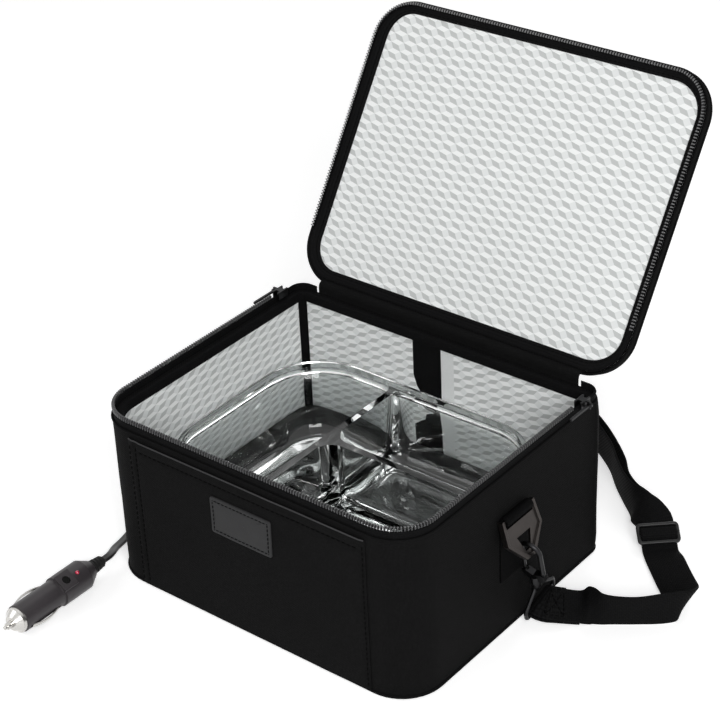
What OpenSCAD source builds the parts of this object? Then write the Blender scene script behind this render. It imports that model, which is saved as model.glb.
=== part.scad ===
// Soft-sided heated lunch bag with a zip lid, a heating plate, a glass dish and a car plug.
// Millimetres. +Z is up, the front is -Y, and the origin is the middle of the bag's base.

/* [Bag] */
// Outside width of the bag
bag_w = 278; // [270:1:300]
// Outside depth of the bag
bag_d = 228; // [222:1:250]
// Height of the zip line above the ground
bag_h = 140; // [132:1:170]
// Radius of the two front corners, seen from above
front_r = 32; // [20:1:40]
// Radius of the two back corners, seen from above
back_r = 12; // [10:1:24]
// Thickness of the outer fabric
shell_t = 1.2; // [0.8:0.1:1.6]
// Thickness of the foam in the walls
foam_t = 4.6; // [3:0.1:6]
// Thickness of the lining
liner_t = 0.8; // [0.5:0.1:1.2]
// Height of the zip band above the outer fabric
rim_drop = 9; // [7:0.5:14]
// Thickness of the stiff board in the base
board_t = 2; // [1:0.1:3]

/* [Lid] */
// Outside width of the lid
lid_w = 286; // [278:1:310]
// Radius of the lid's corners
lid_r = 32; // [20:1:40]
// Height of the lid's side
lid_t = 14; // [12:0.5:20]
// Thickness of the lid's foam
lid_foam_t = 6; // [3:0.5:7]
// Width of the black binding round the lid's lining
lid_binding_w = 9; // [6:0.5:12]
// Opening angle of the lid as stored, from closed
lid_open = 123.6; // [0:0.1:178]

/* [Zip] */
// Height of a zip tooth
tooth_h = 3; // [2:0.5:4]
// Distance from one zip tooth to the next
tooth_pitch = 4; // [3:0.5:6]
// Height of the zip tape below the teeth
tape_h = 16; // [12:0.5:20]
// Thickness of the zip tape
tape_t = 0.8; // [0.5:0.1:1]
// Where the zip ends, in front of the back edge
zip_end = 32; // [30:1:60]
// Length of a zip pull
pull_len = 24; // [16:1:32]

/* [Pocket and patch] */
// Width of the front pocket
pocket_w = 210; // [150:1:212]
// Distance from the pocket's hem to the top of the outer fabric
pocket_gap = 5; // [3:1:20]
// Height of the hem band
hem_h = 14; // [8:1:20]
// Width of the bare leather patch
patch_w = 54; // [30:1:70]
// Height of the bare leather patch
patch_h = 29; // [16:1:36]
// Distance from the pocket's hem to the middle of the patch
patch_drop = 31.5; // [31:0.5:60]

/* [Heating plate] */
// Space between the heating plate and the lining, on each side
plate_gap = 4.2; // [3:0.1:12]
// Height of the heating plate on its feet
plate_h = 28; // [26:0.5:34]
// Corner radius of the heating plate
plate_r = 14; // [8:1:20]
// Height of the feet
foot_h = 12; // [10:0.5:14]
// Length of a corner foot along each side
foot_len = 40; // [24:1:50]
// Width of the front skirt
skirt_w = 76; // [40:1:100]
// Wall of the plate's moulded base
base_wall = 2.6; // [1.8:0.1:3.5]
// Thickness of the aluminium top
top_t = 1.6; // [1.2:0.1:2.4]
// Height of the top's turned-down edge
top_edge = 5; // [4:0.5:7]

/* [Glass dish] */
// How far the dish's rim stands in from the heating plate's edge
dish_gap = 12; // [6:0.5:24]
// Height of the dish
dish_h = 60; // [45:1:70]
// Corner radius of the rim
dish_r = 50; // [30:1:60]
// How far the wall draws in from the rim to the base, on each side
dish_taper = 16; // [8:1:20]
// Thickness of the glass
glass_t = 4; // [3:0.1:5]
// Height of the rim band
rim_h = 9; // [6:0.5:14]
// Where the long divider stands, from the middle to the left
divider_x = 22; // [0:1:40]

/* [Strap hardware] */
// Width of the webbing
strap_w = 30; // [20:1:32]
// Thickness of the webbing
strap_t = 1.6; // [1.2:0.1:2]
// Height of the ring's bar above the ground
ring_z = 97; // [90:1:110]
// Lean of the hanging ring, out from the bag's side
ring_lean = 19; // [14:1:22]
// Depth of the ring, from its bar to its lower edge
ring_drop = 33; // [32:0.5:36]
// Thickness of the ring's edge
ring_t = 4.4; // [3.5:0.1:4.6]
// Radius of the snap hook's wire
hook_wire_r = 1.7; // [1.4:0.05:1.9]
// Radius of the snap hook's bow
hook_bow_r = 7.4; // [7:0.1:8]

/* [Car plug] */
// Radius of the plug's front barrel
barrel_r = 10.4; // [10:0.1:10.8]
// Radius of the plug's rear body
rear_r = 11.5; // [11:0.1:12]
// Length of the plug, from the pin to the strain relief's end
plug_len = 97.6; // [94:0.1:104]
// Turn of the plug about its length as it lies
plug_roll = 30; // [0:1:45]

/* [Cord] */
// Width of the flat twin cord
cord_w = 6.4; // [5:0.1:7]
// Thickness of the flat twin cord
cord_t = 3.2; // [2.4:0.1:3.4]
// Radius of the coil's first turn
coil_r = 41; // [38:0.5:46]
// Distance from one turn of the coil to the next
coil_pitch = 7.1; // [7.1:0.1:8]
// Height of a layer of the coil
coil_layer = 3.8; // [3.8:0.1:4.4]

/* [Hidden] */
$fn = 64;

fabric_black = [0.06, 0.06, 0.07];
webbing_black = [0.09, 0.09, 0.09];
lining_grey = [0.9, 0.92, 0.91];
foam_white = [0.93, 0.93, 0.92];
metal_dark = [0.16, 0.16, 0.17];
metal_bright = [0.8, 0.81, 0.82];
plug_grey = [0.22, 0.21, 0.22];

// Gap between layers of one body, and between a piece and its seat on another body
lay = 0.1;
seat = 0.2;
over = 1;

// Layers of the bag's wall, as insets from its outside
foam_in = shell_t + lay;
liner_in = foam_in + foam_t + lay;
cavity_in = liner_in + liner_t;
tape_in = shell_t + lay;
rebate_in = tape_in + tape_t + lay;
shell_top = bag_h - rim_drop;
wall_top = shell_top - 1;
foam_bottom = shell_t + lay + board_t + lay;
floor_foam_t = 2.7;
liner_bottom = foam_bottom + floor_foam_t + lay;
floor_z = liner_bottom + liner_t;
tape_top = bag_h - tooth_h - lay;
tape_bottom = tape_top - tape_h;
back_y = bag_d / 2;
side_x = bag_w / 2;
pocket_top = shell_top - pocket_gap;
patch_z = pocket_top - patch_drop;

// Lid, measured closed
hinge_y = back_y + 0.4;
hinge_z = bag_h + 0.2;
hinge_gap = 0.35;
hinge_w = bag_w - 2 * back_r - 17;
lid_zip_z = hinge_z + 0.2;
lid_edge_z = lid_zip_z + tooth_h + 2;
lid_top = hinge_z + lid_t;
lid_foam_top = lid_top - shell_t - lay;
lid_liner_top = lid_foam_top - lid_foam_t - lay;

// Where the cord passes the back wall
port_x = -12;
port_z = floor_z + 8.3;
port_r = 5;

// Heating plate
plate_w = bag_w - 2 * cavity_in - 2 * plate_gap;
plate_d = bag_d - 2 * cavity_in - 2 * plate_gap;
plate_z = floor_z + seat;
plate_floor_t = 2;
outlet_z = plate_z + 6.3;
split_z = plate_z + plate_h - top_edge;
inner_top = plate_z + plate_h - top_t;
inner_bottom = plate_z + foot_h + plate_floor_t;
boss_r = 4;
pilot_r = 1.3;
screw_r = 1.25;
screw_head_r = 3;
screw_len = 11;
boss_in = 18;
boss_x = plate_w / 2 - boss_in;
boss_y = plate_d / 2 - boss_in;
pad_in = [20, 24];
pad_w = plate_w - 2 * pad_in[0];
pad_d = plate_d - 2 * pad_in[1];
element_t = 1.1;
clamp_t = 1;
element_top = inner_top - lay;
pad_top = element_top - element_t - lay;
pad_t = 6;
clamp_top = pad_top - pad_t - lay;
thermostat_x = 40;
thermostat_r = 8;
fuse_x = -40;
cutout_r = 2;
cutout_len = 12;
outlet_y = -62;
outlet_len = 24;
gland_len = 14;

// Dish
dish_w = plate_w - 2 * dish_gap;
dish_d = plate_d - 2 * dish_gap;
dish_z = plate_z + plate_h + seat;

// Strap hardware
bar_r = 2;
bar_bore = bar_r + 0.06;
roll_r = 3.7;
bar_x = side_x + lay + roll_r + 0.7;
window_low = 5.5;
slot_low = 5;
ring_half_top = 18.5;
ring_half_wide = 19.7;
ring_half_low = 5;
ring_web_t = 2;
anchor_bottom = 46;
anchor_t = 1.9;
hook_len = 43;
hook_tilt = 18.7;
hook_lean = 5;
hook_gap = 1.6;
hook_out = 0.7;
hook_axis = [sin(hook_lean), -sin(hook_tilt) * cos(hook_lean), cos(hook_tilt) * cos(hook_lean)];
window_edge = ring_drop - window_low;
hook_top = [bar_x + window_edge * sin(ring_lean) + hook_out, 2, ring_z - window_edge * cos(ring_lean)]
    + (hook_wire_r + hook_gap) * hook_axis;
swivel_at = hook_top - hook_len * hook_axis;
barrel_h = 8;
hook_barrel_r = 4.2;
stem_r = 1.9;
stem_bore = stem_r + 0.05;
gate_z = 10;
gate_pin_r = 0.8;
gate_r = 1.3;
eye_wire_r = 1.5;
eye_drop = 25.2;
eye_half = strap_w / 2 + 2.3;
slider_at = [side_x + 31, back_y + 27, 12];
slider_turn = 132.3;
slider_rise = 26.8;
slider_t = 3;

// Cord: chosen points, the coil lies behind the bag
plug_at = [-137.5, -124, 11.6];
coil_at = [-60, 182];
coil_z = cord_t / 2 + 1.3;
coil_end_z = coil_z + coil_layer;
loop_rings = 24;
coil_start = [coil_at[0] + coil_r, coil_at[1] - cord_w, coil_z];
run_a_pts = [[port_x, back_y + 9, port_z], [port_x, back_y + 15.4, port_z], [-12.2, 138, 13.4],
    [-12.9, 146, 10.2], [-14.6, 154, 6.4], [-17.4, 161.5, 3.6], [-19, 169.2, 2.9], coil_start];
run_b_rest = [[-80, 221.2, 6.3], [-93, 220.5, 4.6], [-106, 217.5, 2.6],
    [-119, 212, 1.7], [-133, 203, 1.7], [-147, 191.5, 1.7], [-160, 179.5, 1.7], [-172, 167.5, 1.7],
    [-183, 154, 1.7], [-191, 137.5, 1.7], [-195, 118, 1.7], [-196, 96, 1.7], [-194, 74, 1.7],
    [-190, 52, 1.7], [-184.5, 30, 1.7], [-178, 8, 1.7], [-171.5, -14, 1.7], [-165.5, -36, 1.7],
    [-160, -57, 1.7], [-155, -76, 2.2], [-150, -91, 4], [-145.3, -103, 7], [-140, -111.5, 10.2],
    plug_at + [0, 6.4, 0], plug_at];
lead_start = [port_x, outlet_y + outlet_len + gland_len, outlet_z];
lead_end = [port_x, back_y - cavity_in - 1.6, port_z];
lead_pts = [lead_start, lead_start + [0, 7, 0], [-15, -7, 11.4], [-24, 4, 9.4], [-32, 17, 9],
    [-34, 31, 9], [-29, 45, 9], [-18, 56, 9], [-6, 66, 9.2], [-1, 76, 10.6],
    [-4, 86, 13], [-9, 94, 14.8], lead_end - [0, 6, 0], lead_end];

// Car plug: y runs from the tip of the pin to the strain relief
relief_len = 12.6;
rear_len = 33.6;
nose_len = 4;
pin_out = 10;
barrel_s = plug_len - relief_len - rear_len;
nose_s = pin_out;
barrel_start = nose_s + nose_len;
pin_r = 2.6;
fuse_r = 3.2;
fuse_len = 30;
fuse_y = barrel_start + 1.5;
switch_s = barrel_s + 5.5;
switch_r = 3.1;
led_s = barrel_s + 16.5;
led_r = 1.5;

// Shapes used by many pieces

function unit(v) = v / norm(v);

module rounded_rect(w, d, r) {
    square([w, d - 2 * r], center = true);
    square([w - 2 * r, d], center = true);
    for (x = [-1, 1], y = [-1, 1])
        translate([x * (w / 2 - r), y * (d / 2 - r)]) circle(r = r);
}

// The bag's outline, drawn in by inset
module outline(inset) {
    fr = front_r - inset;
    br = back_r - inset;
    for (x = [-1, 1]) {
        translate([x * (side_x - front_r), -back_y + front_r]) circle(r = fr);
        translate([x * (side_x - back_r), back_y - back_r]) circle(r = br);
    }
    translate([-side_x + inset, -back_y + front_r])
        square([bag_w - 2 * inset, bag_d - front_r - back_r]);
    translate([-side_x + front_r, -back_y + inset]) square([bag_w - 2 * front_r, bag_d / 2]);
    translate([-side_x + back_r, 0]) square([bag_w - 2 * back_r, back_y - inset]);
}

module bag_band(outer, inner, z0, z1) {
    translate([0, 0, z0]) linear_extrude(z1 - z0) difference() {
        outline(outer);
        outline(inner);
    }
}

module lid_plate(inset, z0, z1) {
    translate([0, 0, z0]) linear_extrude(z1 - z0)
        rounded_rect(lid_w - 2 * inset, bag_d - 2 * inset, lid_r - inset);
}

module lid_band(outer, inner, z0, z1) {
    difference() {
        lid_plate(outer, z0, z1);
        lid_plate(inner, z0 - over, z1 + over);
    }
}

// Turns what is drawn closed to the stored opening angle
module on_lid() {
    translate([0, hinge_y, hinge_z]) rotate([-lid_open, 0, 0])
        translate([0, -hinge_y, -hinge_z]) children();
}

module along_y(r, y0, y1) {
    translate([0, y0, 0]) rotate([-90, 0, 0]) cylinder(r = r, h = y1 - y0);
}

// The zip's teeth: one comb that follows the left, front and right edges
function comb_at(s, out, w, d, r, m, y1) =
    let (hw = w / 2 - m, hd = d / 2 - m, cr = r - m)
    let (side = y1 + hd - cr, arc = PI * cr / 2, front = 2 * (hw - cr))
    let (a1 = (s - side) / cr * 180 / PI, a2 = (s - side - arc - front) / cr * 180 / PI)
    s < side ? [-hw - out, y1 - s]
    : s < side + arc ? [-hw + cr, -hd + cr] + (cr + out) * [cos(180 + a1), sin(180 + a1)]
    : s < side + arc + front ? [-hw + cr + s - side - arc, -hd - out]
    : s < side + 2 * arc + front ? [hw - cr, -hd + cr] + (cr + out) * [cos(270 + a2), sin(270 + a2)]
    : [hw + out, -hd + cr + s - side - 2 * arc - front];

module zip_comb(w, d, r, y1, z0) {
    m = tape_in + tape_t / 2;
    low = 0.9;
    high = 1.5;
    total = 2 * (y1 + d / 2 - r) + PI * (r - m) + w - 2 * r;
    n = floor(total / tooth_pitch);
    half = tooth_pitch / 2;
    outside = [for (k = [0 : n - 1], q = [[0, low], [0, high], [half, high], [half, low]])
        comb_at(k * tooth_pitch + q[0], q[1], w, d, r, m, y1)];
    inside = [for (k = [n - 1 : -1 : 0]) comb_at((k + 0.25) * tooth_pitch, -low, w, d, r, m, y1)];
    translate([0, 0, z0]) linear_extrude(tooth_h) polygon(concat(outside, inside));
}

// A flat cord or a strap: a section swept along points, with its width kept level or as given
function tangent(p, i) = unit(p[min(i + 1, len(p) - 1)] - p[max(i - 1, 0)]);
function oval(w, t, n) = [for (k = [0 : n - 1]) [w / 2 * cos(k * 360 / n), t / 2 * sin(k * 360 / n)]];
function level_side(t) = unit(cross([0, 0, 1], t));
function ring_points(p, i, section, side) =
    let (t = tangent(p, i), up = unit(cross(t, side)), level = cross(up, t))
    [for (q = section) p[i] + q[0] * level + q[1] * up];

module sweep(p, section, sides = []) {
    n = len(section);
    last = len(p) - 1;
    pts = [for (i = [0 : last])
        each ring_points(p, i, section, len(sides) > 0 ? sides[i] : level_side(tangent(p, i)))];
    walls = [for (i = [0 : last - 1], k = [0 : n - 1])
        let (a = i * n + k, b = i * n + (k + 1) % n)
        each [[a, b + n, b], [a, a + n, b + n]]];
    caps = [[for (k = [0 : n - 1]) k], [for (k = [n - 1 : -1 : 0]) last * n + k]];
    polyhedron(pts, concat(walls, caps), convexity = 10);
}

// Bag

module port_hole(r) {
    translate([port_x, 0, port_z]) along_y(r, back_y - 20, back_y + 20);
}

module outer_shell() {
    color(fabric_black) difference() {
        linear_extrude(shell_top) outline(0);
        translate([0, 0, shell_t]) linear_extrude(bag_h) outline(shell_t);
        port_hole(port_r);
    }
}

module base_board() {
    color([0.2, 0.2, 0.2]) translate([0, 0, shell_t + lay]) linear_extrude(board_t) outline(foam_in);
}

module wall_foam() {
    color(foam_white) difference() {
        translate([0, 0, foam_bottom]) linear_extrude(wall_top - foam_bottom) outline(foam_in);
        translate([0, 0, foam_bottom + floor_foam_t]) linear_extrude(bag_h) outline(foam_in + foam_t);
        bag_band(foam_in - over, rebate_in, tape_bottom - lay, bag_h);
        port_hole(port_r);
    }
}

module liner() {
    color(lining_grey) difference() {
        translate([0, 0, liner_bottom]) linear_extrude(wall_top - liner_bottom) outline(liner_in);
        translate([0, 0, floor_z]) linear_extrude(bag_h) outline(cavity_in);
        port_hole(port_r);
    }
}

module rim_binding() {
    drop = 5;
    inner = cavity_in + lay + tape_t;
    color(webbing_black) {
        bag_band(rebate_in, inner, wall_top + lay, shell_top);
        bag_band(cavity_in + lay, inner, wall_top - drop, shell_top);
    }
}

// Tape over the seams of the lining: round the floor, and up the two back corners.
// It is trimmed where a corner of the heating plate stands.
module liner_seam_tape() {
    in0 = cavity_in + 0.05;
    thick = 0.5;
    flat = 3.8;
    rise = 5;
    trim = 0.3;
    corner = back_r + 10;
    z0 = floor_z + 0.05;
    color(webbing_black) difference() {
        union() {
            difference() {
                bag_band(in0, in0 + flat, z0, z0 + thick);
                translate([0, 0, floor_z - over]) linear_extrude(thick + 2 * over)
                    rounded_rect(plate_w + 2 * trim, plate_d + 2 * trim, plate_r + trim);
            }
            bag_band(in0, in0 + thick, z0, floor_z + rise);
            intersection() {
                bag_band(in0, in0 + thick, z0, wall_top - rise - lay - 0.4);
                for (x = [-1, 1]) translate([x * (side_x - corner / 2), back_y - corner / 2, bag_h / 2])
                    cube([corner, corner, bag_h], center = true);
            }
        }
        port_hole(port_r + 2.7);
    }
}

module cord_port_strip() {
    strip_w = 26;
    strip_t = 1.2;
    z0 = port_z + 2 * port_r;
    color(webbing_black) translate([port_x - strip_w / 2, back_y - cavity_in - lay - strip_t, z0])
        cube([strip_w, strip_t, wall_top - 6 - z0]);
}

module cord_port_gland() {
    r = port_r - 0.05;
    flange = port_r + 2.5;
    inner_y = back_y - cavity_in;
    color([0.1, 0.1, 0.1]) translate([port_x, 0, port_z]) {
        along_y(r, inner_y - 1.5, back_y + 1.5);
        along_y(flange, inner_y - 1.3, inner_y - lay);
        along_y(flange, back_y + lay, back_y + 1.6);
        translate([0, back_y + 1.5, 0]) rotate([-90, 0, 0])
            cylinder(r1 = r, r2 = cord_w / 2 + 0.5, h = 7.5);
    }
}

module front_pocket() {
    y0 = -back_y - lay;
    z0 = 2;
    color(fabric_black) {
        translate([-pocket_w / 2, y0 - shell_t, z0]) cube([pocket_w, shell_t, pocket_top - z0]);
        translate([-pocket_w / 2, y0 - shell_t - 0.8, pocket_top - hem_h])
            cube([pocket_w, shell_t + 0.8, hem_h]);
    }
}

module label_patch() {
    corner = 3;
    color([0.19, 0.19, 0.19])
        translate([-1, -back_y - 2 * lay - shell_t, patch_z]) rotate([90, 0, 0])
        linear_extrude(1.2) rounded_rect(patch_w, patch_h, corner);
}

module back_run() {
    translate([-side_x + back_r + 8, back_y - 10, 0]) cube([bag_w - 2 * back_r - 16, 20, bag_h]);
}

module zip_tape_lower() {
    color(webbing_black) difference() {
        bag_band(tape_in, tape_in + tape_t, tape_bottom, tape_top);
        back_run();
    }
}

module zip_teeth_lower() {
    color(metal_dark) zip_comb(bag_w, bag_d, front_r, back_y - zip_end, tape_top + lay);
}

module lid_hinge_band() {
    y0 = back_y - tape_in - tape_t;
    top = hinge_z - hinge_gap;
    color(fabric_black) {
        translate([-hinge_w / 2, y0, tape_bottom]) cube([hinge_w, tape_t, top - tape_bottom]);
        translate([-hinge_w / 2, y0, top - tape_t]) cube([hinge_w, hinge_y - hinge_gap / 2 - y0, tape_t]);
    }
}

// Zip sliders, parked behind the last teeth

slider_len = 11;
slider_y = back_y - zip_end + 1 + slider_len / 2;
slider_half = 3.2;
slider_plate = 1.4;
bail_out = 2.9;
slider_low = tape_top - 3.2;
slider_high = hinge_z - 0.4;
slider_x = side_x - tape_in - tape_t / 2;

module zip_slider() {
    bail_x = slider_half + bail_out;
    color(metal_dark) translate([slider_x, slider_y, 0]) {
        for (s = [-1, 1]) translate([s * (slider_half - slider_plate / 2), 0, slider_low])
            linear_extrude(slider_high - slider_low)
            rounded_rect(slider_plate, slider_len, 0.4);
        translate([0, 0, tape_top + lay]) linear_extrude(slider_high - tape_top - lay)
            rounded_rect(2 * slider_half - 1, 5, 1.2);
        translate([bail_x, 0, slider_low]) cylinder(r = 0.9, h = slider_high - slider_low);
        for (z = [slider_low, slider_high - 1.2])
            translate([slider_half - 0.6, -0.9, z]) cube([bail_out + 0.6, 1.8, 1.2]);
    }
}

module zip_pull() {
    eye_r = 2.2;
    mid = (slider_low + slider_high) / 2;
    thick = 1.6;
    color(metal_dark) translate([slider_x + slider_half + bail_out, slider_y, mid - thick / 2])
        linear_extrude(thick) difference() {
            union() {
                circle(r = eye_r);
                translate([-0.9, -pull_len + 1]) square([1.8, pull_len - 1]);
                translate([0, -pull_len + 1]) circle(r = 0.9);
            }
            circle(r = 0.95);
        }
}

// Strap anchors and rings

module anchor() {
    drop = ring_z - anchor_bottom;
    color(webbing_black) {
        translate([side_x + lay, -strap_w / 2, anchor_bottom]) cube([anchor_t, strap_w, drop - 2]);
        difference() {
            translate([bar_x, 0, ring_z]) union() {
                along_y(roll_r, -strap_w / 2, strap_w / 2);
                translate([side_x + lay - bar_x, -strap_w / 2, -roll_r - 1])
                    cube([anchor_t, strap_w, roll_r + 1]);
            }
            translate([bar_x, 0, ring_z]) along_y(bar_bore, -strap_w, strap_w);
        }
    }
}

module ring_outline(grow) {
    polygon([[-ring_half_top - grow, 2], [-ring_half_wide - grow, -16],
        [-ring_half_low - grow, -ring_drop - grow], [ring_half_low + grow, -ring_drop - grow],
        [ring_half_wide + grow, -16], [ring_half_top + grow, 2]]);
}

module ring() {
    arm = 2.4;
    window_top = 15;
    window_half = 8;
    color([0.33, 0.3, 0.3]) translate([bar_x, 0, ring_z]) rotate([0, -ring_lean, 0]) {
        along_y(bar_r, -ring_half_top + 0.5, ring_half_top - 0.5);
        difference() {
            rotate([90, 0, 90]) linear_extrude(ring_t, center = true) ring_outline(0);
            for (s = [-1, 1]) translate([s * (ring_web_t / 2 + ring_t / 2), 0, 0])
                rotate([90, 0, 90]) linear_extrude(ring_t, center = true) ring_outline(-arm);
            rotate([90, 0, 90]) linear_extrude(3 * ring_t, center = true) {
                translate([-strap_w / 2 - 0.6, -slot_low]) square([strap_w + 1.2, 10]);
                polygon([[-window_half, -window_top], [window_half, -window_top],
                    [3, -window_edge], [-3, -window_edge]]);
            }
        }
    }
}

// Snap hooks. Drawn upright with the swivel at the origin, then hung on the ring.

module on_hook() {
    translate(swivel_at) rotate([hook_tilt, 0, 0]) rotate([0, hook_lean, 0]) children();
}

leg_top = hook_len - hook_bow_r;
nose_z = leg_top - 1.7;
leg_x = hook_bow_r;

module hook() {
    yoke_t = 4.8;
    color(metal_dark) on_hook() difference() {
        union() {
            cylinder(r = hook_barrel_r, h = barrel_h);
            rotate([90, 0, 0]) linear_extrude(yoke_t, center = true) polygon([[-4, 4],
                [-leg_x - 1.8, gate_z - 1], [-leg_x - 1.8, gate_z + 1.5], [-leg_x + 1.5, gate_z + 2.2],
                [0, barrel_h + 2], [leg_x - 1.7, barrel_h + 5], [leg_x + 1.7, barrel_h + 5],
                [leg_x + 2, barrel_h], [4, 4]]);
            translate([leg_x, 0, barrel_h + 2]) cylinder(r = hook_wire_r, h = leg_top - barrel_h - 2);
            translate([0, 0, leg_top]) rotate([90, 0, 0]) rotate_extrude(angle = 180)
                translate([hook_bow_r, 0]) circle(r = hook_wire_r);
            translate([-leg_x, 0, nose_z]) cylinder(r = hook_wire_r, h = leg_top - nose_z);
        }
        translate([-leg_x - 3, -1.3, gate_z - 2.6]) cube([5.6, 2.6, 10]);
        translate([0, 0, -over]) cylinder(r = stem_bore, h = 6 + over);
        translate([0, 0, 4]) cylinder(r = 3.05, h = 2.6);
    }
    color(metal_dark) on_hook() translate([-leg_x, 0, gate_z]) along_y(gate_pin_r, -2.4, 2.4);
}

module hook_gate() {
    hub_r = 1.9;
    tip = nose_z - 0.3 - gate_z;
    color(metal_bright) on_hook() translate([-leg_x, 0, gate_z]) difference() {
        union() {
            along_y(hub_r, -1.1, 1.1);
            intersection() {
                cylinder(r = gate_r, h = tip);
                translate([-gate_r, -1.1, 0]) cube([2 * gate_r, 2.2, tip]);
            }
        }
        along_y(gate_pin_r + 0.05, -3, 3);
    }
}

module swivel_eye() {
    corner_r = 2.5;
    knee_r = 4;
    bend_r = eye_wire_r + 0.06;
    into = 0.3;
    lean = 50;
    apex = -3.5;
    web_top = -4;
    web_low = -7;
    leg_y = eye_half - knee_r * (1 - cos(lean));
    leg_z = apex - leg_y / tan(lean);
    leg_len = leg_y / sin(lean) - 3.2;
    knee_z = leg_z - knee_r * sin(lean);
    corner_z = corner_r - eye_drop;
    bar_half = eye_half - corner_r + into;
    color(metal_dark) on_hook() union() {
        translate([0, 0, -2.5]) cylinder(r = stem_r, h = 8.5);
        translate([0, 0, 4.1]) cylinder(r = 3, h = 2.4);
        translate([0, 0, -4.2]) cylinder(r = 3.4, h = 4);
        rotate([90, 0, 90]) linear_extrude(4.4, center = true)
            polygon([[-3.4, web_top], [-4.6, web_low], [4.6, web_low], [3.4, web_top]]);
        translate([0, 0, -eye_drop]) along_y(eye_wire_r, -bar_half, bar_half);
        for (s = [0, 1]) mirror([0, s, 0]) {
            translate([0, eye_half - corner_r, corner_z]) rotate([90, 0, 90]) rotate([0, 0, -90])
                rotate_extrude(angle = 90) translate([corner_r, 0]) circle(r = bend_r);
            translate([0, eye_half, corner_z - into])
                cylinder(r = eye_wire_r, h = knee_z - corner_z + 2 * into);
            translate([0, eye_half - knee_r, knee_z]) rotate([90, 0, 90])
                rotate_extrude(angle = lean) translate([knee_r, 0]) circle(r = bend_r);
            translate([0, leg_y, leg_z]) rotate([lean, 0, 0])
                translate([0, 0, -into]) cylinder(r = eye_wire_r, h = leg_len + into);
        }
    }
}

// Shoulder strap: one ribbon from the right eye through the slider, round the left eye and back.
// Each station is its middle and the direction of its width.

eye_bar = swivel_at - eye_drop * hook_axis;
wrap_r = eye_wire_r + 0.3 + strap_t / 2;
bar_dir = [0, cos(hook_tilt), sin(hook_tilt)];
bar_out = cross(bar_dir, hook_axis);

left_eye = [-eye_bar[0], eye_bar[1], eye_bar[2]];

// Stations measured out from the bag's side and back, on the right or on the left
function beside(s, list) = [for (q = list) [[s * (side_x + q[0][0]), back_y + q[0][1], q[0][2]], q[1], q[2]]];

right_fold = concat([for (out = [0, 5]) [eye_bar + out * bar_out, bar_dir, wrap_r]],
    [[eye_bar + [13, 4.8, -1.2], [-0.22, 0.92, 0.32], 1.8],
    [eye_bar + [24, 13.6, -0.2], [-0.4, 0.78, 0.46], 1.1]]);
right_run = beside(1, [
    [[44.5, -68.5, 11.3], [-0.42, 0.6, 0.68], 0], [[66.8, -55.7, 13.4], [-0.35, 0.42, 0.84], 0],
    [[83, -48.5, 14.9], [-0.15, 0.22, 0.96], 0], [[95, -42, 15.4], [0.1, 0.15, 0.98], 0],
    [[101, -33, 13.6], [0.5, 0.2, 0.84], 0], [[97.5, -24.5, 9.6], [0.7, 0.45, 0.55], 0],
    [[88, -19, 5.9], [0.68, 0.66, 0.3], 0], [[75, -12, 3.6], [0.66, 0.74, 0.1], 0],
    [[58, 1, 2], [0.72, 0.69, 0], 0]]);

function slider_dir(x, z) =
    x * [cos(slider_rise) * cos(slider_turn), cos(slider_rise) * sin(slider_turn), sin(slider_rise)]
    + z * [-sin(slider_rise) * cos(slider_turn), -sin(slider_rise) * sin(slider_turn), cos(slider_rise)];
slider_across = [sin(slider_turn), -cos(slider_turn), 0];
slider_weave = [for (q = [[-18, -2.9], [-13.5, -2.9], [-9.5, -2.7], [-2.8, 2.7], [0, 2.95],
    [2.8, 2.7], [9.5, -2.7], [13.5, -2.9], [18, -2.6]])
    [slider_at + slider_dir(q[0], q[1]), slider_across, 0]];
slider_back = [for (q = [[18, -5.4], [13.5, -5.3], [9.5, -5], [6, -3.6], [2.5, -2.8], [-2, -2.7]])
    [slider_at + slider_dir(q[0], q[1]), slider_across, 0]];

far_run = concat(
    beside(1, [
        [[7, 50, 18.2], [0.62, 0.6, 0.5], 1.8], [[-9, 64, 18], [0.4, 0.42, 0.82], 2.4],
        [[-33, 83, 16.6], [0.15, 0.17, 0.97], 2.6], [[-64, 102, 15.7], [0, 0, 1], 2.6],
        [[-94, 120, 15.7], [0, 0, 1], 2.6], [[-127, 135, 15.7], [0, 0, 1], 2.6]]),
    beside(-1, [
        [[-115, 144, 15.7], [0, 0, 1], 2.6], [[-77, 147, 15.7], [0, 0, 1], 2.6],
        [[-41, 141, 15.7], [0, 0, 1], 2.6], [[-9, 126, 16.4], [0, 0, 1], 2.6],
        [[14, 103, 18.6], [0, 0, 1], 2.6], [[29, 76, 20.4], [0, 0, 1], 2.6],
        [[38, 46, 20.4], [0, 0, 1], 2.6], [[43, 16, 18.4], [0, 0, 1], 2.6],
        [[44, -12, 16.6], [0, 0, 1], 2.6], [[41, -36, 16.2], [0.04, 0.1, 0.99], 2.6],
        [[37, -56, 15.4], [0.2, 0.3, 0.93], 2.6]]),
    [[left_eye + [-22.5, 19.3, 3.2], [0.36, 0.66, 0.64], 2.6],
    [left_eye + [-14, 6.8, 0.8], [0.25, 0.88, 0.4], 2.6]]);

// Moves each station of a list off its own surface by its third value
function lifted(list, way) =
    let (mid = [for (q = list) q[0]])
    [for (i = [0 : len(list) - 1])
        let (t = tangent(mid, i), n = unit(cross(t, list[i][1])))
        [mid[i] + way * list[i][2] * n, list[i][1], 0]];
function backwards(list) = [for (i = [len(list) - 1 : -1 : 0]) list[i]];
function mirrored(list) = [for (q = list) [[-q[0][0], q[0][1], q[0][2]], [-q[1][0], q[1][1], q[1][2]], q[2]]];

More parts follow.
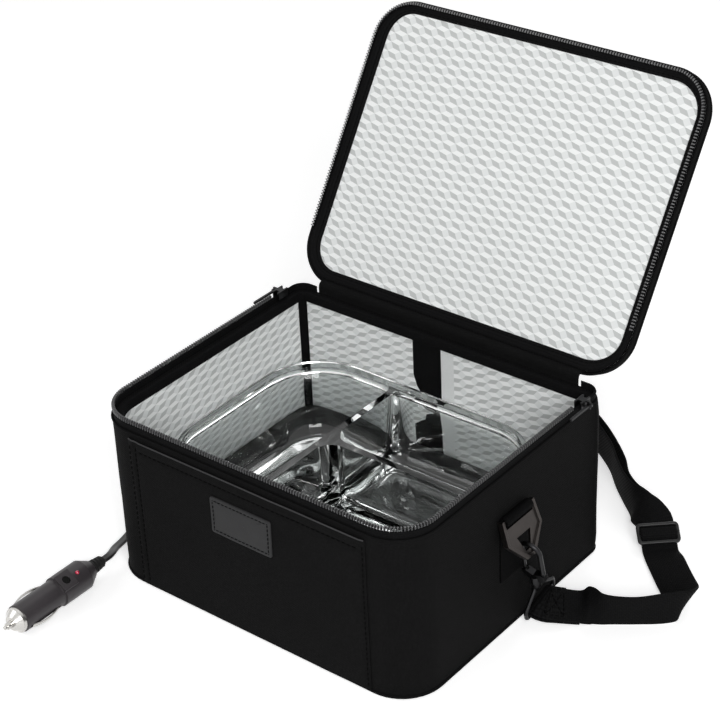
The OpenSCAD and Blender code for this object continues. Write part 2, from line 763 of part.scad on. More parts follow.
// Half a turn round each eye's bar, from below it to above it
right_turn = [for (a = [30 : 30 : 150])
    [eye_bar - wrap_r * (cos(a) * hook_axis + sin(a) * bar_out), bar_dir, 0]];
left_fold = concat(far_run, mirrored([right_fold[1], right_fold[0]]));
strap_stations = concat(
    backwards(lifted(right_fold, -1)), right_turn, lifted(right_fold, 1), right_run, slider_weave,
    lifted(left_fold, -1), mirrored(right_turn), backwards(lifted(left_fold, 1)), slider_back);

module strap_webbing() {
    half = [strap_w / 2, strap_t / 2];
    section = [[-half[0], -half[1]], [half[0], -half[1]], [half[0], half[1]], [-half[0], half[1]]];
    color(webbing_black)
        sweep([for (q = strap_stations) q[0]], section, [for (q = strap_stations) q[1]]);
}

module strap_slider() {
    rail = 3;
    bar = 4.4;
    slot = 7.8;
    side_play = 0.5;
    length = bar + 2 * slot + 2 * rail;
    slot_w = strap_w + 2 * side_play;
    color([0.12, 0.12, 0.12]) translate(slider_at) rotate([0, -slider_rise, slider_turn])
        linear_extrude(slider_t, center = true) difference() {
            rounded_rect(length, slot_w + 2 * rail, rail + side_play);
            for (s = [-1, 1]) translate([s * (bar + slot) / 2, 0]) square([slot, slot_w], center = true);
        }
}

// Lid

module lid_cover() {
    color(fabric_black) on_lid() difference() {
        lid_plate(0, lid_edge_z, lid_top);
        lid_plate(shell_t, lid_edge_z - over, lid_top - shell_t);
    }
}

module lid_foam() {
    color(foam_white) on_lid() lid_plate(rebate_in, lid_foam_top - lid_foam_t, lid_foam_top);
}

module lid_liner() {
    color(lining_grey) on_lid() lid_plate(rebate_in, lid_liner_top - liner_t, lid_liner_top);
}

module lid_binding() {
    z1 = lid_liner_top - liner_t - lay;
    color(webbing_black) on_lid() lid_band(rebate_in, rebate_in + lid_binding_w, z1 - 0.8, z1);
}

module zip_tape_upper() {
    color(webbing_black) on_lid() lid_band(tape_in, tape_in + tape_t, lid_zip_z + tooth_h + lay,
        lid_foam_top - lay);
}

module lid_hinge_flap() {
    y0 = back_y - tape_in - tape_t;
    low = hinge_z + hinge_gap;
    color(fabric_black) on_lid() {
        translate([-hinge_w / 2, y0, low]) cube([hinge_w, tape_t, lid_zip_z + tooth_h - low]);
        translate([-hinge_w / 2, y0, low]) cube([hinge_w, hinge_y - hinge_gap / 2 - y0, tape_t]);
    }
}

module zip_teeth_upper() {
    color(metal_dark) on_lid() zip_comb(lid_w, bag_d, lid_r, back_y - zip_end - 6, lid_zip_z);
}

// Heating plate

module plate_block(inset, z0, z1) {
    translate([0, 0, z0]) linear_extrude(z1 - z0)
        rounded_rect(plate_w - 2 * inset, plate_d - 2 * inset, plate_r - inset);
}

module notch(x0, x1) {
    draft = 5;
    rotate([90, 0, 0]) linear_extrude(2 * base_wall + plate_r, center = true)
        polygon([[x0 - 1, plate_z - over], [x1 + 1, plate_z - over],
            [x1 - draft, plate_z + foot_h], [x0 + draft, plate_z + foot_h]]);
}

module boss_places() {
    for (x = [-boss_x, 0, boss_x], y = [-boss_y, boss_y]) translate([x, y, 0]) children();
}

module heater_base() {
    corner = plate_w / 2 - foot_len;
    side = plate_d / 2 - foot_len;
    outlet_w = 18;
    color([0.07, 0.07, 0.07]) difference() {
        union() {
            difference() {
                plate_block(0, plate_z, split_z - 0.6);
                plate_block(base_wall, plate_z - over, split_z);
            }
            plate_block(base_wall - 0.1, plate_z + foot_h, inner_bottom);
            translate([port_x - outlet_w / 2, outlet_y, plate_z + 0.8])
                cube([outlet_w, outlet_len, foot_h]);
        }
        translate([0, -plate_d / 2, 0]) {
            notch(-corner, -skirt_w / 2);
            notch(skirt_w / 2, corner);
        }
        translate([0, plate_d / 2, 0]) notch(-corner, corner);
        for (s = [-1, 1]) translate([s * plate_w / 2, 0, 0]) rotate([0, 0, 90]) notch(-side, side);
        boss_places() translate([0, 0, plate_z + foot_h - over]) cylinder(r = 1.7, h = 5);
        translate([port_x, 0, outlet_z]) along_y(3, outlet_y + 4, outlet_y + outlet_len + over);
        translate([thermostat_x, 0, inner_bottom - 0.6]) cylinder(r = thermostat_r + 0.3, h = 2);
    }
}

module heater_top() {
    color([0.05, 0.05, 0.05]) {
        difference() {
            union() {
                plate_block(0, split_z, plate_z + plate_h - 1);
                plate_block(1, split_z, plate_z + plate_h);
            }
            plate_block(base_wall, split_z - over, inner_top);
        }
        boss_places() difference() {
            translate([0, 0, inner_bottom + lay]) cylinder(r = boss_r, h = inner_top - inner_bottom);
            translate([0, 0, inner_bottom - over]) cylinder(r = pilot_r, h = 10);
        }
    }
}

module heating_element() {
    runs = 8;
    track = 9;
    step = (pad_d - 8 - track) / (runs - 1);
    half = pad_w / 2 - 6;
    low = -(runs - 1) * step / 2;
    color([0.75, 0.72, 0.65]) translate([0, 0, element_top - element_t]) linear_extrude(element_t) {
        for (i = [0 : runs - 1]) translate([-half, low + i * step - track / 2]) square([2 * half, track]);
        for (i = [0 : runs - 2]) translate([i % 2 == 0 ? half - track : -half, low + i * step - track / 2])
            square([track, step + track]);
    }
}

module pad_outline(clear) {
    difference() {
        square([pad_w, pad_d], center = true);
        for (y = [-boss_y, boss_y]) translate([0, y]) circle(r = boss_r + 1);
        translate([thermostat_x, 0]) circle(r = thermostat_r + clear);
        translate([fuse_x, 0]) square([cutout_len + 4, 2 * cutout_r + 1.2], center = true);
    }
}

module element_insulation() {
    color([0.85, 0.83, 0.78]) translate([0, 0, pad_top - pad_t]) linear_extrude(pad_t) pad_outline(0.8);
}

module heater_clamp_plate() {
    color(metal_bright) translate([0, 0, clamp_top - clamp_t]) linear_extrude(clamp_t) pad_outline(1);
}

module thermostat() {
    low = inner_bottom - 0.5;
    color([0.3, 0.3, 0.3]) translate([thermostat_x, 0, low]) {
        cylinder(r = thermostat_r, h = pad_top - low);
        translate([0, 0, 4]) cylinder(r = thermostat_r + 0.5, h = 1);
    }
}

module thermal_fuse() {
    color([0.85, 0.85, 0.86]) translate([fuse_x - cutout_len / 2, 0, pad_top - cutout_r - lay])
        rotate([0, 90, 0]) cylinder(r = cutout_r, h = cutout_len);
}

module heater_screws() {
    head_h = 1.8;
    color(metal_bright) boss_places() translate([0, 0, plate_z + foot_h - lay]) {
        cylinder(r = screw_r, h = screw_len);
        translate([0, 0, -head_h]) cylinder(r = screw_head_r, h = head_h);
    }
}

module heater_gland() {
    y0 = outlet_y + outlet_len;
    color([0.1, 0.1, 0.1]) translate([port_x, 0, outlet_z]) {
        along_y(2.95, y0 - 8, y0 + 1);
        translate([0, y0 + lay, 0]) rotate([-90, 0, 0])
            cylinder(r1 = 5, r2 = cord_w / 2 + 0.5, h = gland_len - lay);
    }
}

module heater_lead() {
    color([0.12, 0.12, 0.12]) sweep(lead_pts, oval(cord_w, cord_t, 8));
}

// Glass dish

module dish_slab(inset, r, z0, z1) {
    translate([0, 0, z0]) linear_extrude(z1 - z0) rounded_rect(dish_w - 2 * inset, dish_d - 2 * inset, r);
}

// A pocket of the dish, narrower at its floor. Corners on the outside follow the rim.
pocket_x = dish_w / 2 - glass_t - 1.2;
pocket_y = dish_d / 2 - glass_t - 1.2;
divider = 5;

module dish_pocket(x0, x1, y0, y1) {
    rim_r = dish_r - glass_t - 1.2;
    inner_r = 14;
    draw = dish_taper - glass_t;
    hull() for (x = [x0, x1], y = [y0, y1]) {
        out_x = abs(x) == pocket_x ? 1 : 0;
        out_y = abs(y) == pocket_y ? 1 : 0;
        r = out_x * out_y == 1 ? rim_r : inner_r;
        low = r * 0.75;
        sx = x == x1 ? -1 : 1;
        sy = y == y1 ? -1 : 1;
        translate([x + sx * r, y + sy * r, dish_h]) cylinder(r = r, h = 1, $fn = 48);
        translate([x + sx * (low + 1.5 + out_x * draw), y + sy * (low + 1.5 + out_y * draw), glass_t])
            cylinder(r = low, h = 1, $fn = 48);
    }
}

module glass_dish() {
    shoulder = dish_h - rim_h;
    body_in = 4;
    color([0.75, 0.88, 0.9, 0.5]) translate([0, 0, dish_z]) difference() {
        union() {
            hull() {
                dish_slab(body_in, dish_r - body_in, shoulder - 1, shoulder + 0.5);
                dish_slab(dish_taper + body_in, dish_r - dish_taper, 0, 0.5);
            }
            dish_slab(0, dish_r, shoulder, shoulder + 2);
            dish_slab(1.2, dish_r - 1.2, shoulder, dish_h);
        }
        dish_slab(dish_taper + 8, dish_r - dish_taper - 4, -1, 0.8);
        dish_pocket(-pocket_x, -divider_x - divider / 2, -pocket_y, pocket_y);
        dish_pocket(-divider_x + divider / 2, pocket_x, -pocket_y, -divider / 2);
        dish_pocket(-divider_x + divider / 2, pocket_x, divider / 2, pocket_y);
    }
}

// Cord outside the bag

module cord_run_a() {
    color([0.13, 0.13, 0.13]) sweep(run_a_pts, oval(cord_w, cord_t, 8));
}

module cord_run_b() {
    color([0.13, 0.13, 0.13]) sweep(run_b_pts, oval(cord_w, cord_t, 8));
}

// The coil spirals in for two turns and out for two, and climbs in the half turn between
coil_turns = 4.25;
turn_at = coil_turns / 2 + 0.125;
coil_low_r = coil_r - coil_pitch * turn_at;
function coil_radius(u) = coil_low_r + coil_pitch * abs(u - turn_at);
function coil_height(u) = coil_z + coil_layer * min(1, max(0, (u - turn_at + 0.25) * 2));
function coil_point(u) = [coil_at[0] + coil_radius(u) * cos(360 * u),
    coil_at[1] + coil_radius(u) * sin(360 * u), coil_height(u)];
coil_last = coil_point(coil_turns) - [cord_w, 0, 0];
coil_pts = concat([coil_start], [for (k = [0 : coil_turns * loop_rings]) coil_point(k / loop_rings)],
    [coil_last]);
run_b_pts = concat([coil_last, coil_last - [cord_w, 0, 0]], run_b_rest);
coil_section = oval(cord_w, cord_t, 6);

// Least distance between two stretches of the coil that lie more than half a turn apart,
// less what the section takes in that direction
function coil_gap_at(i, j) =
    let (a = coil_pts[i], b = coil_pts[j], flat = norm([a[0] - b[0], a[1] - b[1]]))
    let (dz = abs(a[2] - b[2]), far = norm([flat, dz]))
    let (reach = far / norm([flat / cord_w, dz / cord_t])) far - reach;
coil_gap = min([for (i = [0 : len(coil_pts) - 1], j = [i + loop_rings / 2 : len(coil_pts) - 1])
    coil_gap_at(i, j)]);
echo(coil_least_gap = coil_gap);

module cord_coil() {
    color([0.13, 0.13, 0.13]) sweep(coil_pts, coil_section);
}

module cord_tie() {
    clear = 0.4;
    band = 0.8;
    r0 = coil_low_r - cord_w / 2 - clear;
    r1 = coil_r + cord_w / 2 + clear;
    z1 = coil_end_z + cord_t / 2 + clear;
    color([0.05, 0.05, 0.05]) translate([coil_at[0], coil_at[1], 0]) rotate([0, 0, -45])
        rotate([90, 0, 0]) linear_extrude(12, center = true) difference() {
            translate([r0 - band, 0.05]) square([r1 - r0 + 2 * band, z1 + band]);
            translate([r0, 0.05 + band]) square([r1 - r0, z1 - band]);
        }
}

// Car plug, drawn along +Y from the tip of the pin at the origin

module on_plug() {
    translate([plug_at[0], plug_at[1] - plug_len, plug_at[2]]) rotate([0, plug_roll, 0]) children();
}

contact_from = barrel_start + 4;
contact_len = 26;

module plug_body() {
    rear_end = plug_len - relief_len;
    color(plug_grey) on_plug() difference() {
        union() {
            along_y(barrel_r, barrel_start, barrel_s + 1);
            along_y(rear_r, barrel_s, rear_end - 8);
            translate([0, rear_end - 8, 0]) rotate([-90, 0, 0]) cylinder(r1 = rear_r, r2 = 7, h = 8);
            translate([-6.5, barrel_s - 1, rear_r - 6]) cube([13, 13, 6.5]);
        }
        for (s = [-1, 1]) translate([s * (barrel_r - 1.2), contact_from + contact_len / 2, 0])
            cube([6, contact_len + 3, 4.4], center = true);
        along_y(fuse_r + 0.15, barrel_start - over, barrel_start + fuse_len + 6);
        translate([0, switch_s, 6]) cylinder(r = switch_r + 0.1, h = rear_r);
        translate([0, led_s, 6]) cylinder(r = led_r + 0.1, h = rear_r);
    }
}

module plug_nose_ring() {
    flange_r = barrel_r - 0.8;
    flange_t = 2.5;
    cone_r = [5.6, 9];
    cone_len = 4.5;
    pin_bore = pin_r + 0.06;
    color(metal_bright) on_plug() difference() {
        union() {
            along_y(flange_r, barrel_start - lay - flange_t, barrel_start - lay);
            translate([0, barrel_start - lay - flange_t + 0.1 - cone_len, 0]) rotate([-90, 0, 0])
                cylinder(r1 = cone_r[0], r2 = cone_r[1], h = cone_len);
        }
        along_y(pin_bore, 0, barrel_start + over);
    }
}

module plug_pin() {
    tip_r = 1.6;
    tip_len = 3;
    collar_t = 1.1;
    color(metal_bright) on_plug() {
        along_y(tip_r, tip_r - over, tip_len);
        translate([0, tip_r, 0]) sphere(r = tip_r);
        along_y(pin_r, tip_len, barrel_start + 0.5);
        along_y(pin_r + 0.5, fuse_y - lay - collar_t, fuse_y - lay);
    }
}

module plug_fuse() {
    color([0.85, 0.88, 0.9]) on_plug() along_y(fuse_r, fuse_y, fuse_y + fuse_len);
}

// A side spring: a bowed strip in the barrel's slot
module plug_contact(side) {
    bow = 2.3;
    half = contact_len / 2;
    strip_w = 3.6;
    strip_t = 0.8;
    round_r = (half * half + bow * bow) / (2 * bow);
    color(metal_bright) on_plug() rotate([0, side > 0 ? 0 : 180, 0])
        translate([barrel_r + bow - round_r, contact_from + half, 0]) intersection() {
            linear_extrude(strip_w, center = true) difference() {
                circle(r = round_r, $fn = 240);
                circle(r = round_r - strip_t, $fn = 240);
            }
            translate([round_r - bow - strip_t - 0.1, 0.5 - half, -strip_w])
                cube([10, contact_len - 1, 2 * strip_w]);
        }
}

module plug_led() {
    seat_z = 6.1;
    color([0.75, 0.02, 0.05]) on_plug() translate([0, led_s, seat_z]) {
        cylinder(r = led_r, h = rear_r - seat_z);
        translate([0, 0, rear_r - seat_z]) sphere(r = led_r);
    }
}

module plug_switch() {
    travel = 1.2;
    color([0.03, 0.03, 0.03]) on_plug() translate([0, switch_s, 6 + travel + lay])
        cylinder(r = switch_r, h = 4.2);
}

module plug_strain_relief() {
    ribs = 4;
    rib = 1.6;
    rib_r = 5.6;
    step = (relief_len - over) / ribs;
    y0 = plug_len - relief_len;
    color([0.08, 0.08, 0.08]) on_plug() {
        translate([0, y0 + lay, 0]) rotate([-90, 0, 0]) cylinder(r1 = 4.6, r2 = 3.6, h = relief_len - lay);
        for (i = [0 : ribs - 1]) along_y(rib_r - 0.35 * i, y0 + over + i * step, y0 + over + i * step + rib);
    }
}

outer_shell();
base_board();
wall_foam();
liner();
rim_binding();
liner_seam_tape();
cord_port_strip();
cord_port_gland();
front_pocket();
label_patch();
zip_tape_lower();
zip_teeth_lower();
lid_hinge_band();
zip_slider();  // zip_slider_right
mirror([1, 0, 0]) zip_slider();  // zip_slider_left
zip_pull();  // zip_pull_right
mirror([1, 0, 0]) zip_pull();  // zip_pull_left
anchor();  // anchor_right
mirror([1, 0, 0]) anchor();  // anchor_left
ring();  // ring_right
mirror([1, 0, 0]) ring();  // ring_left
hook();  // hook_right
mirror([1, 0, 0]) hook();  // hook_left
hook_gate();  // hook_gate_right
mirror([1, 0, 0]) hook_gate();  // hook_gate_left
swivel_eye();  // swivel_eye_right
mirror([1, 0, 0]) swivel_eye();  // swivel_eye_left
strap_webbing();
strap_slider();
lid_cover();
lid_foam();
lid_liner();
lid_binding();
lid_hinge_flap();
zip_tape_upper();
zip_teeth_upper();
heater_base();
heater_top();
heating_element();
element_insulation();
heater_clamp_plate();
thermostat();
thermal_fuse();
heater_screws();
heater_gland();
heater_lead();
glass_dish();
cord_run_a();
cord_coil();
cord_run_b();
cord_tie();
plug_body();
plug_nose_ring();
plug_pin();
plug_fuse();
plug_contact(1);  // plug_contact_right
plug_contact(-1);  // plug_contact_left
plug_led();
plug_switch();
plug_strain_relief();
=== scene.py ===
import math

import bpy
import bmesh
import numpy as np
from mathutils import Matrix, Vector, noise


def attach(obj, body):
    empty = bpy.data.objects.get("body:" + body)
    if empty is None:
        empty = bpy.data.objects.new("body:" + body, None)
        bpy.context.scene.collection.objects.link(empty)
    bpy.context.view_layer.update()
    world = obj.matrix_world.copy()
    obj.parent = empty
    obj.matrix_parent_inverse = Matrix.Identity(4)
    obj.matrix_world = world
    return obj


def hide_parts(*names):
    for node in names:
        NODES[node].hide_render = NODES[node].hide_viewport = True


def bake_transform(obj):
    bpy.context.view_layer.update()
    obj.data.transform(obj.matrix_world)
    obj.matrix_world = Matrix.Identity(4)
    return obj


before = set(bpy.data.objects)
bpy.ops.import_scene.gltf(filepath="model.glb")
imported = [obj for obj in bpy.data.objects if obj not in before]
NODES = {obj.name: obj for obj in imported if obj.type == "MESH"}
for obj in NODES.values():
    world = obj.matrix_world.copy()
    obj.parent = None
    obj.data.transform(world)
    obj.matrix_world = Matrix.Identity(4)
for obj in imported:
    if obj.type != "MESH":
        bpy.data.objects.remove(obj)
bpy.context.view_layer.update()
MM = 0.001

# ---------------------------------------------------------------- sizes, in millimetres
BAG_W, BAG_D, BAG_H = 278.0, 228.0, 140.0
FRONT_R, BACK_R = 32.0, 12.0
SIDE_X, BACK_Y = BAG_W / 2, BAG_D / 2
SHELL_T, TAPE_IN, TAPE_T = 1.2, 1.3, 0.8
CAVITY_IN = 6.8
SHELL_TOP, WALL_TOP, FLOOR_Z = 131.0, 130.0, 7.0
TAPE_TOP, TAPE_LOW = 136.9, 120.9
ZIP_END = 32.0
LID_W, LID_R, LID_OPEN = 286.0, 32.0, 123.6
LID_FULL, LID_SHORT = 2.8, 2.8
HINGE_Y, HINGE_Z = 114.4, 140.2
HINGE_W = 237.0
LID_ZIP_Z = HINGE_Z + 0.2
LID_EDGE_Z = LID_ZIP_Z + 5
LID_TOP = HINGE_Z + 14
LID_LINER_TOP = LID_TOP - 1.2 - 0.1 - 6 - 0.1
PORT_X, PORT_Z = -12.0, 15.3
RING_Z, BAR_X, RING_LEAN = 97.0, 143.5, 19.0
HOOK_TILT, HOOK_LEAN, HOOK_LEN, EYE_DROP = 18.7, 5.0, 43.0, 25.2
STRAP_W, STRAP_T = 26.5, 1.6
CORD_W, CORD_T = 6.4, 3.2
DISH_Z = 35.4
PLUG_TIP = np.array([-137.5, -221.6, 11.6])


def unit(v):
    v = np.asarray(v, float)
    return v / np.linalg.norm(v)


# ---------------------------------------------------------------- camera
def make_camera():
    azimuth, elevation = math.radians(39.83), math.radians(30.89)
    roll, distance = math.radians(-2.71), 1642.5
    back = np.array([math.sin(azimuth) * math.cos(elevation), -math.cos(azimuth) * math.cos(elevation),
                     math.sin(elevation)])
    right = np.array([math.cos(azimuth), math.sin(azimuth), 0.0])
    up = np.cross(back, right)
    right, up = right * math.cos(roll) + up * math.sin(roll), up * math.cos(roll) - right * math.sin(roll)
    place = np.array([-98.69, 133.96, 75.0]) + back * distance
    data = bpy.data.cameras.new("camera")
    data.sensor_width = 36.0
    data.lens = 2093.7 / 720 * 36
    data.clip_end = 50
    camera = bpy.data.objects.new("camera", data)
    bpy.context.scene.collection.objects.link(camera)
    camera.matrix_world = Matrix((
        (right[0], up[0], back[0], place[0] * MM),
        (right[1], up[1], back[1], place[1] * MM),
        (right[2], up[2], back[2], place[2] * MM),
        (0, 0, 0, 1)))
    bpy.context.scene.camera = camera


make_camera()


# ---------------------------------------------------------------- mesh helpers
def to_object(name, verts, faces, material=None, uv=None, smooth=True, sharp=None):
    """A mesh in millimetres turned into an object in metres. uv holds one (u, v) per vertex, in millimetres."""
    mesh = bpy.data.meshes.new(name)
    mesh.from_pydata([tuple(float(c) * MM for c in v) for v in verts], [], [tuple(f) for f in faces])
    mesh.validate()
    if uv is not None:
        layer = mesh.uv_layers.new(name="UVMap")
        index = np.zeros(len(mesh.loops), np.int32)
        mesh.loops.foreach_get("vertex_index", index)
        layer.data.foreach_set("uv", (np.asarray(uv, np.float32) * 0.01)[index].ravel())
    if smooth:
        mesh.polygons.foreach_set("use_smooth", [True] * len(mesh.polygons))
    if sharp is not None:
        mesh.set_sharp_from_angle(angle=math.radians(sharp))
    obj = bpy.data.objects.new(name, mesh)
    bpy.context.scene.collection.objects.link(obj)
    if material is not None:
        mesh.materials.append(material)
    return obj


def grid_faces(rows, cols, close_u=False, close_v=False, start=0):
    """Quads for rows x cols points; u runs along a row."""
    faces = []
    for i in range(rows if close_v else rows - 1):
        for j in range(cols if close_u else cols - 1):
            a = start + i * cols + j
            b = start + i * cols + (j + 1) % cols
            c = start + (i + 1) % rows * cols + (j + 1) % cols
            d = start + (i + 1) % rows * cols + j
            faces.append((a, b, c, d))
    return faces


class Build:
    """Collects several pieces of one mesh."""

    def __init__(self):
        self.verts, self.faces, self.uv = [], [], []

    def add(self, verts, faces, uv=None):
        start = len(self.verts)
        self.verts += [tuple(v) for v in verts]
        self.faces += [tuple(start + k for k in f) for f in faces]
        self.uv += [tuple(q) for q in uv] if uv is not None else [(v[0], v[1] + v[2]) for v in verts]

    def grid(self, rows, close_u=False, close_v=False, uv=None):
        cols = len(rows[0])
        flat = [p for row in rows for p in row]
        self.add(flat, grid_faces(len(rows), cols, close_u, close_v),
                 None if uv is None else [q for row in uv for q in row])

    def object(self, name, material, **more):
        return to_object(name, self.verts, self.faces, material, self.uv, **more)


def catmull(points, per, closed=False):
    """A smooth line through the points, with per steps for each stretch."""
    p = [np.asarray(q, float) for q in points]
    out = []
    n = len(p)
    for i in range(n if closed else n - 1):
        if closed:
            a, b, c, d = p[(i - 1) % n], p[i], p[(i + 1) % n], p[(i + 2) % n]
        else:
            b, c = p[i], p[i + 1]
            a = p[i - 1] if i > 0 else 2 * b - c
            d = p[i + 2] if i + 2 < n else 2 * c - b
        ta, tb, tc = (np.linalg.norm(y - x) ** 0.5 + 1e-9 for x, y in ((a, b), (b, c), (c, d)))
        m1 = (c - b) + tb * ((b - a) / ta - (c - a) / (ta + tb))
        m2 = (c - b) + tb * ((d - c) / tc - (d - b) / (tb + tc))
        for k in range(per):
            t = k / per
            out.append((2 * t ** 3 - 3 * t ** 2 + 1) * b + (t ** 3 - 2 * t ** 2 + t) * m1
                       + (3 * t ** 2 - 2 * t ** 3) * c + (t ** 3 - t ** 2) * m2)
    if not closed:
        out.append(p[-1])
    return out


def resample(points, step):
    """The same line with points a fixed distance apart."""
    p = np.array(points, float)
    seg = np.linalg.norm(np.diff(p, axis=0), axis=1)
    s = np.concatenate([[0], np.cumsum(seg)])
    n = max(2, int(round(s[-1] / step)) + 1)
    t = np.linspace(0, s[-1], n)
    return np.stack([np.interp(t, s, p[:, k]) for k in range(p.shape[1])], 1), t


def length_of(points):
    return float(np.linalg.norm(np.diff(np.array(points, float), axis=0), axis=1).sum())


def outline(w, d, rf, rb, inset=0.0, corner=12, edge=14.0):
    """Points anticlockwise from the middle of the back: (x, y, nx, ny, s)."""
    hw, hd = w / 2, d / 2
    pts = []

    def line(a, b, n):
        steps = max(1, int(abs(b[0] - a[0]) + abs(b[1] - a[1])) // int(edge))
        for k in range(steps):
            t = k / steps
            pts.append((a[0] + (b[0] - a[0]) * t, a[1] + (b[1] - a[1]) * t, n[0], n[1]))

    def arc(cx, cy, r, a0):
        for k in range(corner):
            a = math.radians(a0 + 90 * k / corner)
            pts.append((cx + r * math.cos(a), cy + r * math.sin(a), math.cos(a), math.sin(a)))

    line((0, hd), (-hw + rb, hd), (0, 1))
    arc(-hw + rb, hd - rb, rb, 90)
    line((-hw, hd - rb), (-hw, -hd + rf), (-1, 0))
    arc(-hw + rf, -hd + rf, rf, 180)
    line((-hw + rf, -hd), (hw - rf, -hd), (0, -1))
    arc(hw - rf, -hd + rf, rf, 270)
    line((hw, -hd + rf), (hw, hd - rb), (1, 0))
    arc(hw - rb, hd - rb, rb, 0)
    line((hw - rb, hd), (0, hd), (0, 1))
    out, s = [], 0.0
    for i, (x, y, nx, ny) in enumerate(pts):
        if i:
            s += math.hypot(x - pts[i - 1][0], y - pts[i - 1][1])
        out.append((x - nx * inset, y - ny * inset, nx, ny, s))
    return out


def bag_outline(inset=0.0, **more):
    return outline(BAG_W, BAG_D, FRONT_R, BACK_R, inset, **more)


def lid_outline(inset=0.0, **more):
    """The lid's outline: the soft edge stands a little proud at the sides and is drawn in at the free end."""
    return [(x, y + LID_SHORT / 2, nx, ny, s)
            for x, y, nx, ny, s in outline(LID_W + 2 * LID_FULL, BAG_D - LID_SHORT, LID_R, LID_R, inset, **more)]


def edging_width(x, y, nx, ny):
    """The lid's inner edging lies wider on the left and narrower on the right and at the free end."""
    side = 12.0 if nx < 0 else 7.2
    end = 10.5 if ny > 0 else 9.0
    return side * nx * nx + end * ny * ny


def ruffle(x, y, z, scale, amount, seed=0.0):
    return amount * noise.noise(Vector((x / scale + seed, y / scale - seed, z / scale + 2 * seed)))


def slack(x, y, z):
    """How far the bag's wall stands out from its CAD face, in millimetres."""
    up = math.sin(math.pi * min(1, max(0, z / SHELL_TOP)))
    flat_x = math.cos(math.pi * max(-1, min(1, x / (SIDE_X - 6))) / 2)
    flat_y = math.cos(math.pi * max(-1, min(1, y / (BACK_Y - 6))) / 2)
    span = max(flat_x if abs(y) > BACK_Y - 12 else 0, flat_y if abs(x) > SIDE_X - 12 else 0)
    corner = 1 if y > 0 and abs(x) > SIDE_X - BACK_R and y > BACK_Y - BACK_R else 0
    return (up ** 0.7 * (0.9 * span + ruffle(x, y, z, 46, 0.55) + ruffle(x, y, z, 17, 0.22, 3.1))
            + 1.3 * corner * min(1, up * 4))


def front_y(x, z):
    return -BACK_Y - slack(x, -BACK_Y, z)


def on_lid_matrix():
    turn = Matrix.Rotation(math.radians(-LID_OPEN), 4, "X")
    there = Matrix.Translation((0, HINGE_Y * MM, HINGE_Z * MM))
    return there @ turn @ there.inverted()


LID_MATRIX = on_lid_matrix()


def place_on_lid(obj):
    obj.data.transform(LID_MATRIX)
    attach(obj, "lid")
    return obj


# ---------------------------------------------------------------- materials
def new_material(name):
    m = bpy.data.materials.new(name)
    m.use_nodes = True
    nt = m.node_tree
    nt.nodes.clear()
    out = nt.nodes.new("ShaderNodeOutputMaterial")
    bsdf = nt.nodes.new("ShaderNodeBsdfPrincipled")
    nt.links.new(bsdf.outputs[0], out.inputs[0])
    return m, nt, bsdf


def node(nt, kind, **values):
    n = nt.nodes.new(kind)
    for key, value in values.items():
        if key.startswith("in_"):
            n.inputs[int(key[3:])].default_value = value
        else:
            setattr(n, key, value)
    return n


def math_node(nt, op, a, b=None, c=None, clamp=False):
    n = nt.nodes.new("ShaderNodeMath")
    n.operation = op
    n.use_clamp = clamp
    for k, v in enumerate((a, b, c)):
        if v is None:
            continue
        if isinstance(v, (int, float)):
            n.inputs[k].default_value = v
        else:
            nt.links.new(v, n.inputs[k])
    return n.outputs[0]


def mix_colour(nt, fac, a, b):
    n = nt.nodes.new("ShaderNodeMix")
    n.data_type = "RGBA"
    if isinstance(fac, (int, float)):
        n.inputs[0].default_value = fac
    else:
        nt.links.new(fac, n.inputs[0])
    for k, v in ((6, a), (7, b)):
        if isinstance(v, (tuple, list)):
            n.inputs[k].default_value = (*v[:3], 1)
        else:
            nt.links.new(v, n.inputs[k])
    return n.outputs[2]


def coordinates(nt, source="Object"):
    tc = nt.nodes.new("ShaderNodeTexCoord")
    return tc.outputs[source]


def noise_tex(nt, vector, scale, detail=3.0, rough=0.55):
    n = nt.nodes.new("ShaderNodeTexNoise")
    n.inputs["Scale"].default_value = scale
    n.inputs["Detail"].default_value = detail
    n.inputs["Roughness"].default_value = rough
    nt.links.new(vector, n.inputs["Vector"])
    return n.outputs["Fac"]


def bump(nt, bsdf, height, distance, strength=1.0, normal=None):
    n = nt.nodes.new("ShaderNodeBump")
    n.inputs["Distance"].default_value = distance
    n.inputs["Strength"].default_value = strength
    nt.links.new(height, n.inputs["Height"])
    if normal is not None:
        nt.links.new(normal, n.inputs["Normal"])
    nt.links.new(n.outputs[0], bsdf.inputs["Normal"])
    return n.outputs[0]


def round_edges(nt, radius):
    n = nt.nodes.new("ShaderNodeBevel")
    n.samples = 4
    n.inputs["Radius"].default_value = radius
    return n.outputs[0]


def weave_height(nt, u, v, pitch):
    """Over-and-under threads: pitch is the distance between threads, in the units of u and v."""
    k = math.pi / pitch
    su = math_node(nt, "SINE", math_node(nt, "MULTIPLY", u, k))
    sv = math_node(nt, "SINE", math_node(nt, "MULTIPLY", v, k))
    au, av = math_node(nt, "ABSOLUTE", su), math_node(nt, "ABSOLUTE", sv)
    sign = math_node(nt, "GREATER_THAN", math_node(nt, "MULTIPLY", su, sv), 0.0)
    other = math_node(nt, "SUBTRACT", 1.0, sign)
    return math_node(nt, "ADD", math_node(nt, "MULTIPLY", au, sign), math_node(nt, "MULTIPLY", av, other)), sign


def uv_mm(nt):
    sep = nt.nodes.new("ShaderNodeSeparateXYZ")
    nt.links.new(coordinates(nt, "UV"), sep.inputs[0])
    return (math_node(nt, "MULTIPLY", sep.outputs[0], 100.0), math_node(nt, "MULTIPLY", sep.outputs[1], 100.0))


